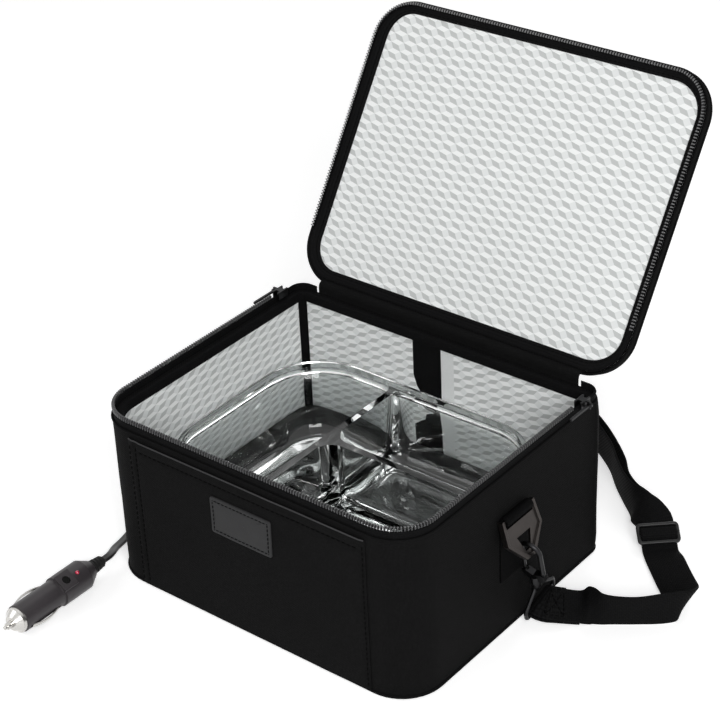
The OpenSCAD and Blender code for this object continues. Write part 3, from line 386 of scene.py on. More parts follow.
def woven(name, dark, light, pitch, rough=0.8, depth=0.00012, sheen=0.0, patch=14.0):
    """Woven cloth or webbing; u and v are in millimetres."""
    m, nt, bsdf = new_material(name)
    u, v = uv_mm(nt)
    height, sign = weave_height(nt, u, v, pitch)
    obj = coordinates(nt)
    broad = noise_tex(nt, obj, 1000 / patch, 4)
    fine = noise_tex(nt, obj, 900, 2)
    fleck = math_node(nt, "MULTIPLY", math_node(nt, "SUBTRACT", fine, 0.42), 2.2, clamp=True)
    tone = math_node(nt, "MULTIPLY", math_node(nt, "ADD", math_node(nt, "MULTIPLY", height, 0.55),
                                               math_node(nt, "MULTIPLY", fleck, 0.45)), 1.0, clamp=True)
    tone = math_node(nt, "MULTIPLY", tone, math_node(nt, "ADD", math_node(nt, "MULTIPLY", broad, 0.7), 0.6), clamp=True)
    nt.links.new(mix_colour(nt, tone, dark, light), bsdf.inputs["Base Color"])
    nt.links.new(math_node(nt, "ADD", math_node(nt, "MULTIPLY", broad, 0.16), rough - 0.1), bsdf.inputs["Roughness"])
    bsdf.inputs["Sheen Weight"].default_value = sheen
    bsdf.inputs["Sheen Roughness"].default_value = 0.5
    bsdf.inputs["Specular IOR Level"].default_value = 0.035
    bump(nt, bsdf, height, depth, 0.9)
    return m


def moulded(name, colour, rough=0.45, grain=0.00004, grain_scale=2500, edge=0.0004, wear=0.12, specular=0.5, coat=0.0):
    """Moulded plastic or rubber with a fine grain and rounded edges."""
    m, nt, bsdf = new_material(name)
    obj = coordinates(nt)
    broad = noise_tex(nt, obj, 60, 4)
    fine = noise_tex(nt, obj, grain_scale, 2)
    light = tuple(min(1, c * (1 + wear * 3) + wear * 0.02) for c in colour)
    nt.links.new(mix_colour(nt, math_node(nt, "MULTIPLY", broad, 0.8, clamp=True), colour, light),
                 bsdf.inputs["Base Color"])
    nt.links.new(math_node(nt, "ADD", math_node(nt, "MULTIPLY", broad, 0.14), rough - 0.07), bsdf.inputs["Roughness"])
    bsdf.inputs["Specular IOR Level"].default_value = specular
    bsdf.inputs["Coat Weight"].default_value = coat
    bsdf.inputs["Coat Roughness"].default_value = 0.12
    bump(nt, bsdf, fine, grain, 0.6, round_edges(nt, edge) if edge else None)
    return m


def metal(name, colour, rough=0.3, edge=0.0003, metallic=1.0, scratch=0.12, coat=0.0):
    m, nt, bsdf = new_material(name)
    obj = coordinates(nt)
    broad = noise_tex(nt, obj, 140, 4)
    fine = noise_tex(nt, obj, 1800, 3)
    light = tuple(min(1, c * 1.25 + 0.01) for c in colour)
    nt.links.new(mix_colour(nt, math_node(nt, "MULTIPLY", broad, 0.9, clamp=True), colour, light),
                 bsdf.inputs["Base Color"])
    nt.links.new(math_node(nt, "ADD", math_node(nt, "MULTIPLY", fine, scratch), rough - scratch / 2),
                 bsdf.inputs["Roughness"])
    bsdf.inputs["Metallic"].default_value = metallic
    bsdf.inputs["Coat Weight"].default_value = coat
    bump(nt, bsdf, fine, 0.00001, 0.5, round_edges(nt, edge) if edge else None)
    return m


def lining_material():
    """Pale lining printed with small cubes: three parallelograms of three greys, a traditional pattern."""
    m, nt, bsdf = new_material("lining_blocks")
    u, v = uv_mm(nt)
    # a and b are the two edges of a cube's pale face, in millimetres; its third edge is a - b
    ax, ay, bx, by = 7.43, -1.5, 4.07, 2.85
    det = ax * by - bx * ay
    alpha = math_node(nt, "ADD", math_node(nt, "MULTIPLY", u, by / det), math_node(nt, "MULTIPLY", v, -bx / det))
    beta = math_node(nt, "ADD", math_node(nt, "MULTIPLY", u, -ay / det), math_node(nt, "MULTIPLY", v, ax / det))
    ia, ib = math_node(nt, "FLOOR", alpha), math_node(nt, "FLOOR", beta)
    fsum = math_node(nt, "ADD", math_node(nt, "SUBTRACT", alpha, ia), math_node(nt, "SUBTRACT", beta, ib))
    kind = math_node(nt, "FLOORED_MODULO", math_node(nt, "SUBTRACT", ia, ib), 3.0)
    upper = math_node(nt, "GREATER_THAN", fsum, 1.0)
    is_one = math_node(nt, "COMPARE", kind, 1.0, 0.2)
    is_two = math_node(nt, "COMPARE", kind, 2.0, 0.2)
    dark = math_node(nt, "ADD", math_node(nt, "MULTIPLY", is_one, upper),
                     math_node(nt, "MULTIPLY", is_two, math_node(nt, "SUBTRACT", 1.0, upper)))
    side = math_node(nt, "SUBTRACT", math_node(nt, "ADD", is_one, is_two), dark)
    colour = mix_colour(nt, side, (0.87, 0.885, 0.88), (0.74, 0.76, 0.755))
    colour = mix_colour(nt, dark, colour, (0.49, 0.505, 0.5))
    line = math_node(nt, "MULTIPLY", math_node(nt, "ABSOLUTE", math_node(
        nt, "SINE", math_node(nt, "MULTIPLY", math_node(nt, "ADD", u, v), 2.6))), 0.10)
    broad = noise_tex(nt, coordinates(nt), 45, 3)
    shade = math_node(nt, "ADD", math_node(nt, "MULTIPLY", broad, 0.10), line)
    nt.links.new(mix_colour(nt, shade, colour, (0.6, 0.61, 0.61)), bsdf.inputs["Base Color"])
    nt.links.new(math_node(nt, "ADD", math_node(nt, "MULTIPLY", broad, 0.2), 0.42), bsdf.inputs["Roughness"])
    bsdf.inputs["Specular IOR Level"].default_value = 0.35
    height = math_node(nt, "ADD", math_node(nt, "MULTIPLY", dark, -0.5),
                       math_node(nt, "MULTIPLY", noise_tex(nt, coordinates(nt), 300, 3), 1.0))
    bump(nt, bsdf, height, 0.00018, 0.5)
    return m


def leather_material():
    m, nt, bsdf = new_material("patch_leather")
    obj = coordinates(nt)
    cells = nt.nodes.new("ShaderNodeTexVoronoi")
    cells.inputs["Scale"].default_value = 1100
    nt.links.new(obj, cells.inputs["Vector"])
    broad = noise_tex(nt, obj, 90, 4)
    nt.links.new(mix_colour(nt, broad, (0.019, 0.019, 0.0195), (0.033, 0.033, 0.034)), bsdf.inputs["Base Color"])
    bsdf.inputs["Specular IOR Level"].default_value = 0.14
    nt.links.new(math_node(nt, "ADD", math_node(nt, "MULTIPLY", broad, 0.15), 0.5), bsdf.inputs["Roughness"])
    bump(nt, bsdf, cells.outputs["Distance"], 0.00012, 0.5)
    return m


def glass_material(name, tint, rough=0.0, ior=1.47):
    m, nt, bsdf = new_material(name)
    obj = coordinates(nt)
    ripple = noise_tex(nt, obj, 22, 2)
    bsdf.inputs["Base Color"].default_value = (*tint, 1)
    bsdf.inputs["Roughness"].default_value = rough
    bsdf.inputs["IOR"].default_value = ior
    bsdf.inputs["Transmission Weight"].default_value = 1.0
    bump(nt, bsdf, ripple, 0.0004, 0.12)
    return m


def lamp_material():
    m, nt, bsdf = new_material("led_red")
    broad = noise_tex(nt, coordinates(nt), 500, 2)
    nt.links.new(mix_colour(nt, broad, (0.35, 0.0, 0.03), (0.7, 0.02, 0.08)), bsdf.inputs["Base Color"])
    bsdf.inputs["Roughness"].default_value = 0.15
    bsdf.inputs["Coat Weight"].default_value = 1.0
    return m


M = {
    "fabric": woven("oxford_black", (0.0012, 0.0012, 0.0012), (0.0108, 0.0108, 0.011), 0.75, rough=0.78),
    "tape": woven("tape_black", (0.0015, 0.0015, 0.0016), (0.009, 0.009, 0.0094), 1.1, rough=0.7, depth=0.0001),
    "webbing": woven("webbing_black", (0.0012, 0.0012, 0.0013), (0.0105, 0.0105, 0.0108), 1.5, rough=0.72, depth=0.00022),
    "thread": moulded("thread_black", (0.0008, 0.0008, 0.0008), 0.75, 0.00003, 4000, 0, 0.1, 0.02),
    "hem": moulded("hem_grey", (0.03, 0.03, 0.031), 0.6, 0.00003, 3000, 0, 0.2, 0.15),
    "lining": lining_material(),
    "leather": leather_material(),
    "foam": moulded("foam_white", (0.8, 0.8, 0.78), 0.8, 0.0002, 900, 0),
    "board": moulded("board_grey", (0.04, 0.04, 0.04), 0.7),
    "teeth": moulded("zip_teeth", (0.022, 0.022, 0.023), 0.26, 0.00001, 3000, 0.00015, 0.3, 0.6, 0.3),
    "dark_metal": metal("metal_black", (0.02, 0.02, 0.021), 0.36, 0.0003),
    "ring": metal("metal_taupe", (0.042, 0.037, 0.035), 0.36, 0.0005),
    "gate": metal("metal_gate", (0.05, 0.05, 0.051), 0.32, 0.0002),
    "chrome": metal("metal_silver", (0.5, 0.49, 0.47), 0.24, 0.0003),
    "alloy": metal("metal_alloy", (0.6, 0.6, 0.62), 0.4, 0.0002),
    "foil": metal("metal_foil", (0.5, 0.47, 0.4), 0.45, 0.0001),
    "plate": moulded("plate_black", (0.0035, 0.0035, 0.0036), 0.42, 0.00003, 3500, 0.0009, 0.3, 0.25),
    "plate_base": moulded("plate_base_black", (0.004, 0.004, 0.004), 0.5, 0.00006, 2200, 0.0006, 0.3, 0.25),
    "mat": moulded("mat_fibre", (0.62, 0.6, 0.54), 0.9, 0.0004, 500, 0),
    "thermostat": moulded("thermostat_brown", (0.04, 0.03, 0.025), 0.35),
    "plug": moulded("plug_grey", (0.021, 0.018, 0.020), 0.42, 0.00005, 2400, 0.0006, 0.25, 0.4),
    "button": moulded("button_black", (0.003, 0.003, 0.003), 0.22, 0.00001, 2400, 0.0004, 0.2, 0.4, 0.2),
    "slider": moulded("slider_black", (0.0055, 0.0055, 0.0056), 0.36, 0.00003, 2400, 0.0006, 0.3, 0.3),
    "rubber": moulded("rubber_black", (0.006, 0.006, 0.006), 0.55, 0.00004, 2600, 0.0003, 0.3, 0.25),
    "cord": moulded("cord_black", (0.005, 0.005, 0.0052), 0.38, 0.00002, 2600, 0, 0.3, 0.35),
    "glass": glass_material("dish_glass", (0.975, 0.995, 0.99)),
    "fuse_glass": glass_material("fuse_glass", (0.95, 0.98, 0.98), 0.02),
    "led": lamp_material(),
}


def finish_piece(obj, body, replaces=()):
    """Rides the piece on its body, and lets it stand for its CAD nodes."""
    if body:
        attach(obj, body)
    if replaces:
        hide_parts(*replaces)
    return obj


# ---------------------------------------------------------------- cords first
def sweep_tube(name, points, section, material, up=(0, 0, 1)):
    """A tube of a given section swept along points, its width kept level."""
    p = np.array(points, float)
    n = len(p)
    tan = np.zeros_like(p)
    tan[1:-1] = p[2:] - p[:-2]
    tan[0], tan[-1] = p[1] - p[0], p[-1] - p[-2]
    rows, uv, s = [], [], 0.0
    around = [0.0]
    for k in range(1, len(section) + 1):
        a, b = section[k - 1], section[k % len(section)]
        around.append(around[-1] + math.hypot(a[0] - b[0], a[1] - b[1]))
    for i in range(n):
        t = unit(tan[i])
        side = unit(np.cross(up, t))
        top = np.cross(t, side)
        if i:
            s += np.linalg.norm(p[i] - p[i - 1])
        rows.append([p[i] + q[0] * side + q[1] * top for q in section])
        uv.append([(around[k], s) for k in range(len(section))])
    b = Build()
    b.grid(rows, close_u=True, uv=uv)
    for row, flip in ((0, False), (n - 1, True)):
        ring = list(range(row * len(section), (row + 1) * len(section)))
        b.faces.append(tuple(ring if flip else ring[::-1]))
    return b.object(name, material)


def twin_section(w, t, n=20):
    """Two wires side by side in one flat jacket, with a groove between them."""
    out = []
    for k in range(n):
        a = 2 * math.pi * k / n
        x = w / 2 * math.cos(a)
        y = t / 2 * math.copysign(abs(math.sin(a)) ** 0.62, math.sin(a))
        y *= 1 - 0.24 * math.exp(-(x / (0.1 * w)) ** 2)
        out.append((x, y))
    return out


COIL_AT, COIL_R, COIL_PITCH, COIL_LAYER, COIL_TURNS = (-60.0, 182.0), 41.0, 7.1, 3.8, 4.25
COIL_Z = CORD_T / 2 + 1.3


def coil_points(per_turn):
    mid = COIL_TURNS / 2 + 0.125
    low = COIL_R - COIL_PITCH * mid
    out = []
    for k in range(int(COIL_TURNS * per_turn) + 1):
        u = k / per_turn
        r = low + COIL_PITCH * abs(u - mid)
        z = COIL_Z + COIL_LAYER * min(1, max(0, (u - mid + 0.25) * 2))
        out.append((COIL_AT[0] + r * math.cos(2 * math.pi * u), COIL_AT[1] + r * math.sin(2 * math.pi * u), z))
    return out


COIL = coil_points(48)
COIL_START = (COIL_AT[0] + COIL_R, COIL_AT[1] - CORD_W, COIL_Z)
COIL_LAST = (COIL[-1][0] - CORD_W, COIL[-1][1], COIL[-1][2])
CORD_EXIT = (PORT_X, BACK_Y + 9, PORT_Z)
PLUG_REAR = (-137.5, -124.0, 11.6)
RUN_A = [CORD_EXIT, (-12, 129.4, PORT_Z), (-12.2, 138, 13.4), (-12.9, 146, 10.2), (-14.6, 154, 6.4),
         (-17.4, 161.5, 3.6), (-19, 169.2, 2.9), COIL_START]
RUN_B = [COIL_LAST, (COIL_LAST[0] - CORD_W, COIL_LAST[1], COIL_LAST[2]), (-80, 221.2, 6.3), (-93, 220.5, 4.6),
         (-106, 217.5, 2.6), (-119, 212, 1.7), (-133, 203, 1.7), (-147, 191.5, 1.7), (-160, 179.5, 1.7),
         (-172, 167.5, 1.7), (-183, 154, 1.7), (-191, 137.5, 1.7), (-195, 118, 1.7), (-196, 96, 1.7),
         (-194, 74, 1.7), (-190, 52, 1.7), (-184.5, 30, 1.7), (-178, 8, 1.7), (-171.5, -14, 1.7),
         (-165.5, -36, 1.7), (-160, -57, 1.7), (-155, -76, 2.2), (-150, -91, 4), (-145.3, -103, 7),
         (-140, -111.5, 10.2), (-137.5, -117.6, 11.6), PLUG_REAR]
LEAD = [(PORT_X, -24, 13.5), (PORT_X, -17, 13.5), (-15, -7, 11.4), (-24, 4, 9.4), (-32, 17, 9), (-34, 31, 9),
        (-29, 45, 9), (-18, 56, 9), (-6, 66, 9.2), (-1, 76, 10.6), (-4, 86, 13), (-9, 94, 14.8),
        (PORT_X, 99.6, PORT_Z), (PORT_X, 105.6, PORT_Z)]

supply_line = catmull(RUN_A, 4)[:-1] + [COIL_START] + [np.array(q) for q in COIL] + catmull(RUN_B, 4)
supply = sweep_tube("supply_cord", supply_line, twin_section(CORD_W, CORD_T), M["cord"])
finish_piece(supply, "bag", ["cord_run_a", "cord_coil", "cord_run_b"])

lead_line = catmull(LEAD, 5)
lead = sweep_tube("plate_lead", lead_line, twin_section(CORD_W, CORD_T), M["cord"])
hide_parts("heater_lead")
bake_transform(lead)
print("supply cord", round(length_of(supply_line)), "lead", round(length_of(lead_line)))

# ---------------------------------------------------------------- carried-over CAD nodes
KEEP = {
    "dark_metal": ["zip_slider_right", "zip_slider_left", "zip_pull_right", "zip_pull_left", "hook_right",
                   "hook_left", "swivel_eye_right", "swivel_eye_left"],
    "gate": ["hook_gate_right", "hook_gate_left"],
    "ring": ["ring_right", "ring_left"],
    "rubber": ["cord_port_gland", "heater_gland", "plug_strain_relief", "cord_tie"],
    "plate": ["heater_top"],
    "plate_base": ["heater_base"],
    "foil": ["heating_element"],
    "mat": ["element_insulation"],
    "alloy": ["heater_clamp_plate", "heater_screws", "thermal_fuse"],
    "thermostat": ["thermostat"],
    "chrome": ["plug_pin", "plug_nose_ring", "plug_contact_right", "plug_contact_left"],
    "plug": ["plug_body"],
    "button": ["plug_switch"],
    "led": ["plug_led"],
    "fuse_glass": ["plug_fuse"],
    "board": ["base_board"],
    "webbing": ["anchor_right", "anchor_left"],
}
for look, names in KEEP.items():
    for name in names:
        mesh = NODES[name].data
        mesh.materials.clear()
        mesh.materials.append(M[look])


# ---------------------------------------------------------------- bag shell
def make_shell():
    base = bag_outline(0)
    n = len(base)
    profile = [(4.5, 0.3), (2.0, 0.35), (0.9, 0.7), (0.3, 1.6), (0.0, 3.4), (0.0, 7.0)]
    profile += [(0.0, z) for z in np.linspace(14, 126, 15)]
    profile += [(0.0, 129.6), (0.15, 130.6), (0.6, 131.0), (1.05, 130.7), (1.15, 129.0), (1.15, 118.0)]
    rows, uv = [], []
    for k, (inset, z) in enumerate(profile):
        row = []
        for x, y, nx, ny, s in base:
            out = slack(x, y, z) - inset if z < 129 or inset < 0.1 else -inset
            row.append((x + nx * out, y + ny * out, z))
        rows.append(row)
        uv.append([(q[4], z) for q in base])
    b = Build()
    b.grid(rows, close_u=True, uv=uv)
    # the floor: rings drawn in towards the middle
    scales = [0.97, 0.8, 0.55, 0.25]
    floor = [[(x * f, y * f, 0.35 + ruffle(x, y, f, 30, 0.15)) for x, y, _, _, _ in base] for f in scales]
    start = len(b.verts)
    b.grid([[(x, y, 0.5) for x, y, _ in rows[0]]] + floor, close_u=True)
    last = start + len(scales) * n
    b.faces.append(tuple(range(last, last + n)))
    for k in range(start, len(b.uv)):
        b.uv[k] = (b.verts[k][0], b.verts[k][1])
    shell = b.object("bag_shell", M["fabric"])
    return finish_piece(shell, "bag", ["outer_shell"])


make_shell()


def run_of(points, keep):
    """The stretch of an outline whose points keep() accepts, in order."""
    flags = [keep(q) for q in points]
    n = len(points)
    first = next(i for i in range(n) if flags[i] and not flags[i - 1])
    out = []
    for k in range(n):
        i = (first + k) % n
        if not flags[i]:
            break
        out.append(points[i])
    return out


def tube_rows(path, normals, r, n=8, z=0.0):
    """A round welt round an outline: path is (x, y), standing out by r along the normal."""
    rows = []
    for (x, y), (nx, ny) in zip(path, normals):
        rows.append([(x + nx * r * math.cos(a), y + ny * r * math.cos(a), z + r * math.sin(a))
                     for a in (2 * math.pi * k / n for k in range(n))])
    return rows


def make_welt(name, base, z, r, out, body, look="fabric", closed=True, lid=False, flush=0.0):
    """A piped seam; flush draws it in along the hinge side, where the lid lies against the bag when folded back."""
    path = [(x + nx * d, y + ny * d) for x, y, nx, ny, d in
            ((x, y, nx, ny, out - flush * max(0, ny)) for x, y, nx, ny, _ in base)]
    rows = tube_rows(path, [(q[2], q[3]) for q in base], r, 8, z)
    uv = [[(k * 0.8, q[4]) for k in range(8)] for q in base]
    b = Build()
    b.grid(rows, close_u=True, close_v=closed, uv=uv)
    obj = b.object(name, M[look])
    if lid:
        obj.data.transform(LID_MATRIX)
    return finish_piece(obj, body)


make_welt("rim_piping", bag_outline(0), 130.3, 0.9, -0.15, "bag", flush=1.2)
make_welt("base_piping", bag_outline(0), 1.7, 1.1, 0.0, "bag")


def band(name, base, levels, material, body, closed=True, replaces=(), lid=False):
    """A band round an outline: levels are (inset, z), followed round into a closed or open strip."""
    rows = [[(x - nx * i, y - ny * i, z) for x, y, nx, ny, _ in base] for i, z in levels]
    along = [0.0]
    for a, c in zip(levels, levels[1:]):
        along.append(along[-1] + math.hypot(a[0] - c[0], a[1] - c[1]))
    uv = [[(q[4], w) for q in base] for w in along]
    b = Build()
    b.grid(rows, close_u=closed, close_v=True, uv=uv)
    obj = b.object(name, M[material], sharp=50)
    if lid:
        obj.data.transform(LID_MATRIX)
    return finish_piece(obj, body, replaces)


fine = dict(corner=20, edge=6.0)
zip_run = run_of(bag_outline(0, **fine), lambda q: not (abs(q[0]) < SIDE_X - BACK_R - 8 and q[1] > 0))
band("tape_lower", zip_run, [(TAPE_IN, TAPE_LOW), (TAPE_IN - 0.25, 133), (TAPE_IN, TAPE_TOP - 0.3),
                             (TAPE_IN + 0.4, TAPE_TOP), (TAPE_IN + TAPE_T, TAPE_TOP - 0.3), (TAPE_IN + TAPE_T, TAPE_LOW)],
     "tape", "bag", closed=False, replaces=["zip_tape_lower"])
band("rim_tape", bag_outline(0, **fine), [(2.3, 130.1), (2.3, 131.2), (4.5, 132.0), (7.4, 131.4), (7.9, 130.4),
                                          (7.9, 124.2), (6.9, 124.2), (6.9, 130.0)],
     "tape", "bag", replaces=["rim_binding"])
make_welt("zip_cord_lower", zip_run, TAPE_TOP - 1.6, 0.75, -TAPE_IN - 0.2, "bag", "tape", closed=False)


# ---------------------------------------------------------------- zip teeth
TOOTH_PITCH = 2.3


def tooth(b, centre, side, along, up, size):
    """One moulded tooth: a small rounded block with a waist and a nose."""
    w, l, h = size
    ring = [(-1, -1), (-0.35, -1.15), (0.45, -0.8), (1, -0.45), (1, 0.45), (0.45, 0.8), (-0.35, 1.15), (-1, 1)]
    rows = []
    for zz, grow in ((-1, 0.72), (-0.75, 1.0), (0.55, 1.0), (0.95, 0.78), (1.0, 0.4)):
        rows.append([centre + side * (q[0] * w / 2 * grow) + along * (q[1] * l / 2 * grow) + up * (zz * h / 2)
                     for q in ring])
    b.grid(rows, close_u=True)
    start = len(b.verts) - 8
    b.faces.append(tuple(range(start, start + 8)))
    b.faces.append(tuple(range(start - 32 + 7, start - 33, -1)))


def teeth(name, base, z, body, replaces, lid=False, h=3.0):
    pts = [q for q in base]
    xs = np.array([[q[0], q[1], q[2], q[3]] for q in pts])
    seg = np.linalg.norm(np.diff(xs[:, :2], axis=0), axis=1)
    s = np.concatenate([[0], np.cumsum(seg)])
    b = Build()
    for k, t in enumerate(np.arange(1.0, s[-1] - 1.0, TOOTH_PITCH)):
        row = [np.interp(t, s, xs[:, c]) for c in range(4)]
        side = unit([row[2], row[3], 0])
        along = np.array([-side[1], side[0], 0])
        up = np.array([0, 0, 1.0])
        centre = np.array([row[0], row[1], z]) - side * (TAPE_IN + TAPE_T / 2 - 0.1)
        tooth(b, centre, side, along, up, (2.5, 1.35, h))
    obj = b.object(name, M["teeth"], sharp=35)
    if lid:
        obj.data.transform(LID_MATRIX)
    return finish_piece(obj, body, replaces)


lower_teeth_run = run_of(bag_outline(0, **fine), lambda q: q[1] < BACK_Y - ZIP_END)
teeth("teeth_lower", lower_teeth_run, 138.5, "bag", ["zip_teeth_lower"])
upper_teeth_run = run_of(lid_outline(0, **fine), lambda q: q[1] < BACK_Y - ZIP_END - 6)
teeth("teeth_upper", upper_teeth_run, LID_ZIP_Z + 2.4, "lid", ["zip_teeth_upper"], lid=True, h=2.2)


# ---------------------------------------------------------------- lining of the bag
def make_lining():
    base = bag_outline(CAVITY_IN, corner=12, edge=12.0)
    n = len(base)
    b = Build()
    heights = [FLOOR_Z] + list(np.linspace(14, 126, 11)) + [129.8]
    rows, uv = [], []
    for z in heights:
        row = []
        for x, y, nx, ny, s in base:
            puff = 0.55 * math.sin(math.pi * (z - FLOOR_Z) / (WALL_TOP - FLOOR_Z)) ** 0.6 * noise.noise(
                Vector((x / 40, y / 40, z / 40))) if FLOOR_Z < z < 129 else 0
            row.append((x + nx * puff, y + ny * puff, z))
        rows.append(row)
        uv.append([(q[4], z) for q in base])
    top = len(rows) - 1
    rows.append([(x + nx * 0.7, y + ny * 0.7, 130.0) for x, y, nx, ny, _ in base])
    uv.append([(q[4], 131) for q in base])
    b.grid(rows, close_u=True, uv=uv)
    start = len(b.verts)
    scales = [1.0, 0.8, 0.55, 0.25]
    floor = [[(x * f, y * f, FLOOR_Z + (0 if f == 1 else ruffle(x, y, f * 50, 30, 0.12)))
              for x, y, _, _, _ in base] for f in scales]
    b.grid(floor, close_u=True, uv=[[(p[0], p[1]) for p in row] for row in floor])
    last = start + 3 * n
    b.faces.append(tuple(range(last, last + n)))
    for f_index in range(len(b.faces)):
        b.faces[f_index] = b.faces[f_index][::-1]
    obj = b.object("lining", M["lining"], sharp=60)
    return finish_piece(obj, "bag", ["liner"])


make_lining()


def strip(name, path, across, width, thick, material, body, replaces=(), lift=0.0):
    """A flat tape along a line: across is the direction of its width, and its face looks along the third axis."""
    p = [np.array(q, float) for q in path]
    b = Build()
    section = [(-0.5, 0), (-0.5, 0.7), (-0.44, 1.0), (0.44, 1.0), (0.5, 0.7), (0.5, 0)]
    rows, uv, s = [], [], 0.0
    for i, q in enumerate(p):
        t = unit(p[min(i + 1, len(p) - 1)] - p[max(i - 1, 0)])
        w = unit(across[i] if len(across) == len(p) and np.ndim(across) == 2 else across)
        n = unit(np.cross(t, w))
        if i:
            s += np.linalg.norm(p[i] - p[i - 1])
        rows.append([q + w * (a * width) + n * (c * thick + lift) for a, c in section])
        uv.append([(a * width, s) for a, c in section])
    b.grid(rows, close_u=True, uv=uv)
    m = len(section)
    b.faces.append(tuple(range(m - 1, -1, -1)))
    b.faces.append(tuple(range((len(p) - 1) * m, len(p) * m)))
    obj = b.object(name, M[material], sharp=50)
    return finish_piece(obj, body, replaces)


def make_seam_tapes():
    """Black tape over the lining's seams: round the floor, and up the two back corners."""
    base = bag_outline(CAVITY_IN, corner=12, edge=8.0)
    levels = [(0.15, FLOOR_Z + 6.5), (0.7, FLOOR_Z + 6.2), (0.9, FLOOR_Z + 2.0), (1.8, FLOOR_Z + 0.9),
              (3.5, FLOOR_Z + 0.75), (3.8, FLOOR_Z + 0.2)]
    rows = [[(x - nx * i, y - ny * i, z) for x, y, nx, ny, _ in base] for i, z in levels]
    b = Build()
    b.grid(rows, close_u=True, uv=[[(q[4], k * 2.0) for q in base] for k in range(len(levels))])
    for sx in (-1, 1):
        corner = [q for q in base if q[0] * sx > SIDE_X - CAVITY_IN - 10 and q[1] > BACK_Y - CAVITY_IN - 10]
        heights = np.linspace(FLOOR_Z + 3, WALL_TOP - 4, 12)
        rows = [[(x - nx * 0.5, y - ny * 0.5, z) for x, y, nx, ny, _ in corner] for z in heights]
        b.grid(rows, uv=[[(q[4], z) for q in corner] for z in heights])
    for k in range(len(b.faces)):
        b.faces[k] = b.faces[k][::-1]
    obj = b.object("seam_tapes", M["tape"], sharp=50)
    finish_piece(obj, "bag", ["liner_seam_tape"])
    z0, z1 = PORT_Z + 10, WALL_TOP - 6
    y = BACK_Y - CAVITY_IN - 0.1
    strip("cord_channel", [(PORT_X, y, z) for z in np.linspace(z0, z1, 12)], (1, 0, 0), 26, 1.2, "tape",
          "bag", ["cord_port_strip"])


make_seam_tapes()


# ---------------------------------------------------------------- stitches
def stitch_line(b, points, normal, length=3.0, gap=1.6, r=0.28):
    """Short threads along a line, lying on the surface whose normal is given (or one per point)."""
    p, t = resample(points, 0.5)
    total = t[-1]
    s = gap / 2
    while s + length < total:
        a = np.array([np.interp(s, t, p[:, k]) for k in range(3)])
        c = np.array([np.interp(s + length, t, p[:, k]) for k in range(3)])
        d = unit(c - a)
        nn = unit(normal(a) if callable(normal) else normal)
        side = unit(np.cross(nn, d))
        rows = []
        for f, g, h in ((0, 0.3, -0.2), (0.12, 0.9, 0.7), (0.5, 1.0, 1.0), (0.88, 0.9, 0.7), (1, 0.3, -0.2)):
            m = a + (c - a) * f + nn * r * h
            rows.append([m + side * (r * g * math.cos(q)) + nn * (r * g * 0.8 * math.sin(q))
                         for q in (2 * math.pi * k / 6 for k in range(6))])
        b.grid(rows, close_u=True)
        s += length + gap


# ---------------------------------------------------------------- pocket and patch
POCKET_HALF, POCKET_TOP, POCKET_PROUD = 105.0, 126.0, 1.7
POCKET_ROW, POCKET_SIDES = 117.8, (-103.4, -97.8, 103.0)


def pocket_y(x, z):
    """The pocket's face, drawn in a little along its rows of stitches."""
    edge = min(1.0, max(0.0, (POCKET_HALF - abs(x)) / 1.2))
    puff = 0.55 * math.sin(math.pi * min(1, max(0, z - 2) / 124)) * math.cos(math.pi * x / (2 * POCKET_HALF + 2))
    puff = max(0, puff + ruffle(x, 5, z, 28, 0.35, 7))
    pinch = max([math.exp(-((x - q) / 1.4) ** 2) for q in POCKET_SIDES] + [math.exp(-((z - POCKET_ROW) / 1.4) ** 2)])
    return front_y(x, z) - (POCKET_PROUD + puff - 0.6 * pinch) * (0.35 + 0.65 * edge)


def near_lines(values, lines):
    """Grid values with extra ones beside each line, so that a row of stitches can draw the cloth in."""
    extra = [q + d for q in lines for d in (-2.4, -1.2, 0, 1.2, 2.4)]
    kept = [v for v in values if all(abs(v - q) > 3 for q in lines)]
    return sorted(kept + [v for v in extra if values[0] < v < values[-1]] + [values[0], values[-1]])


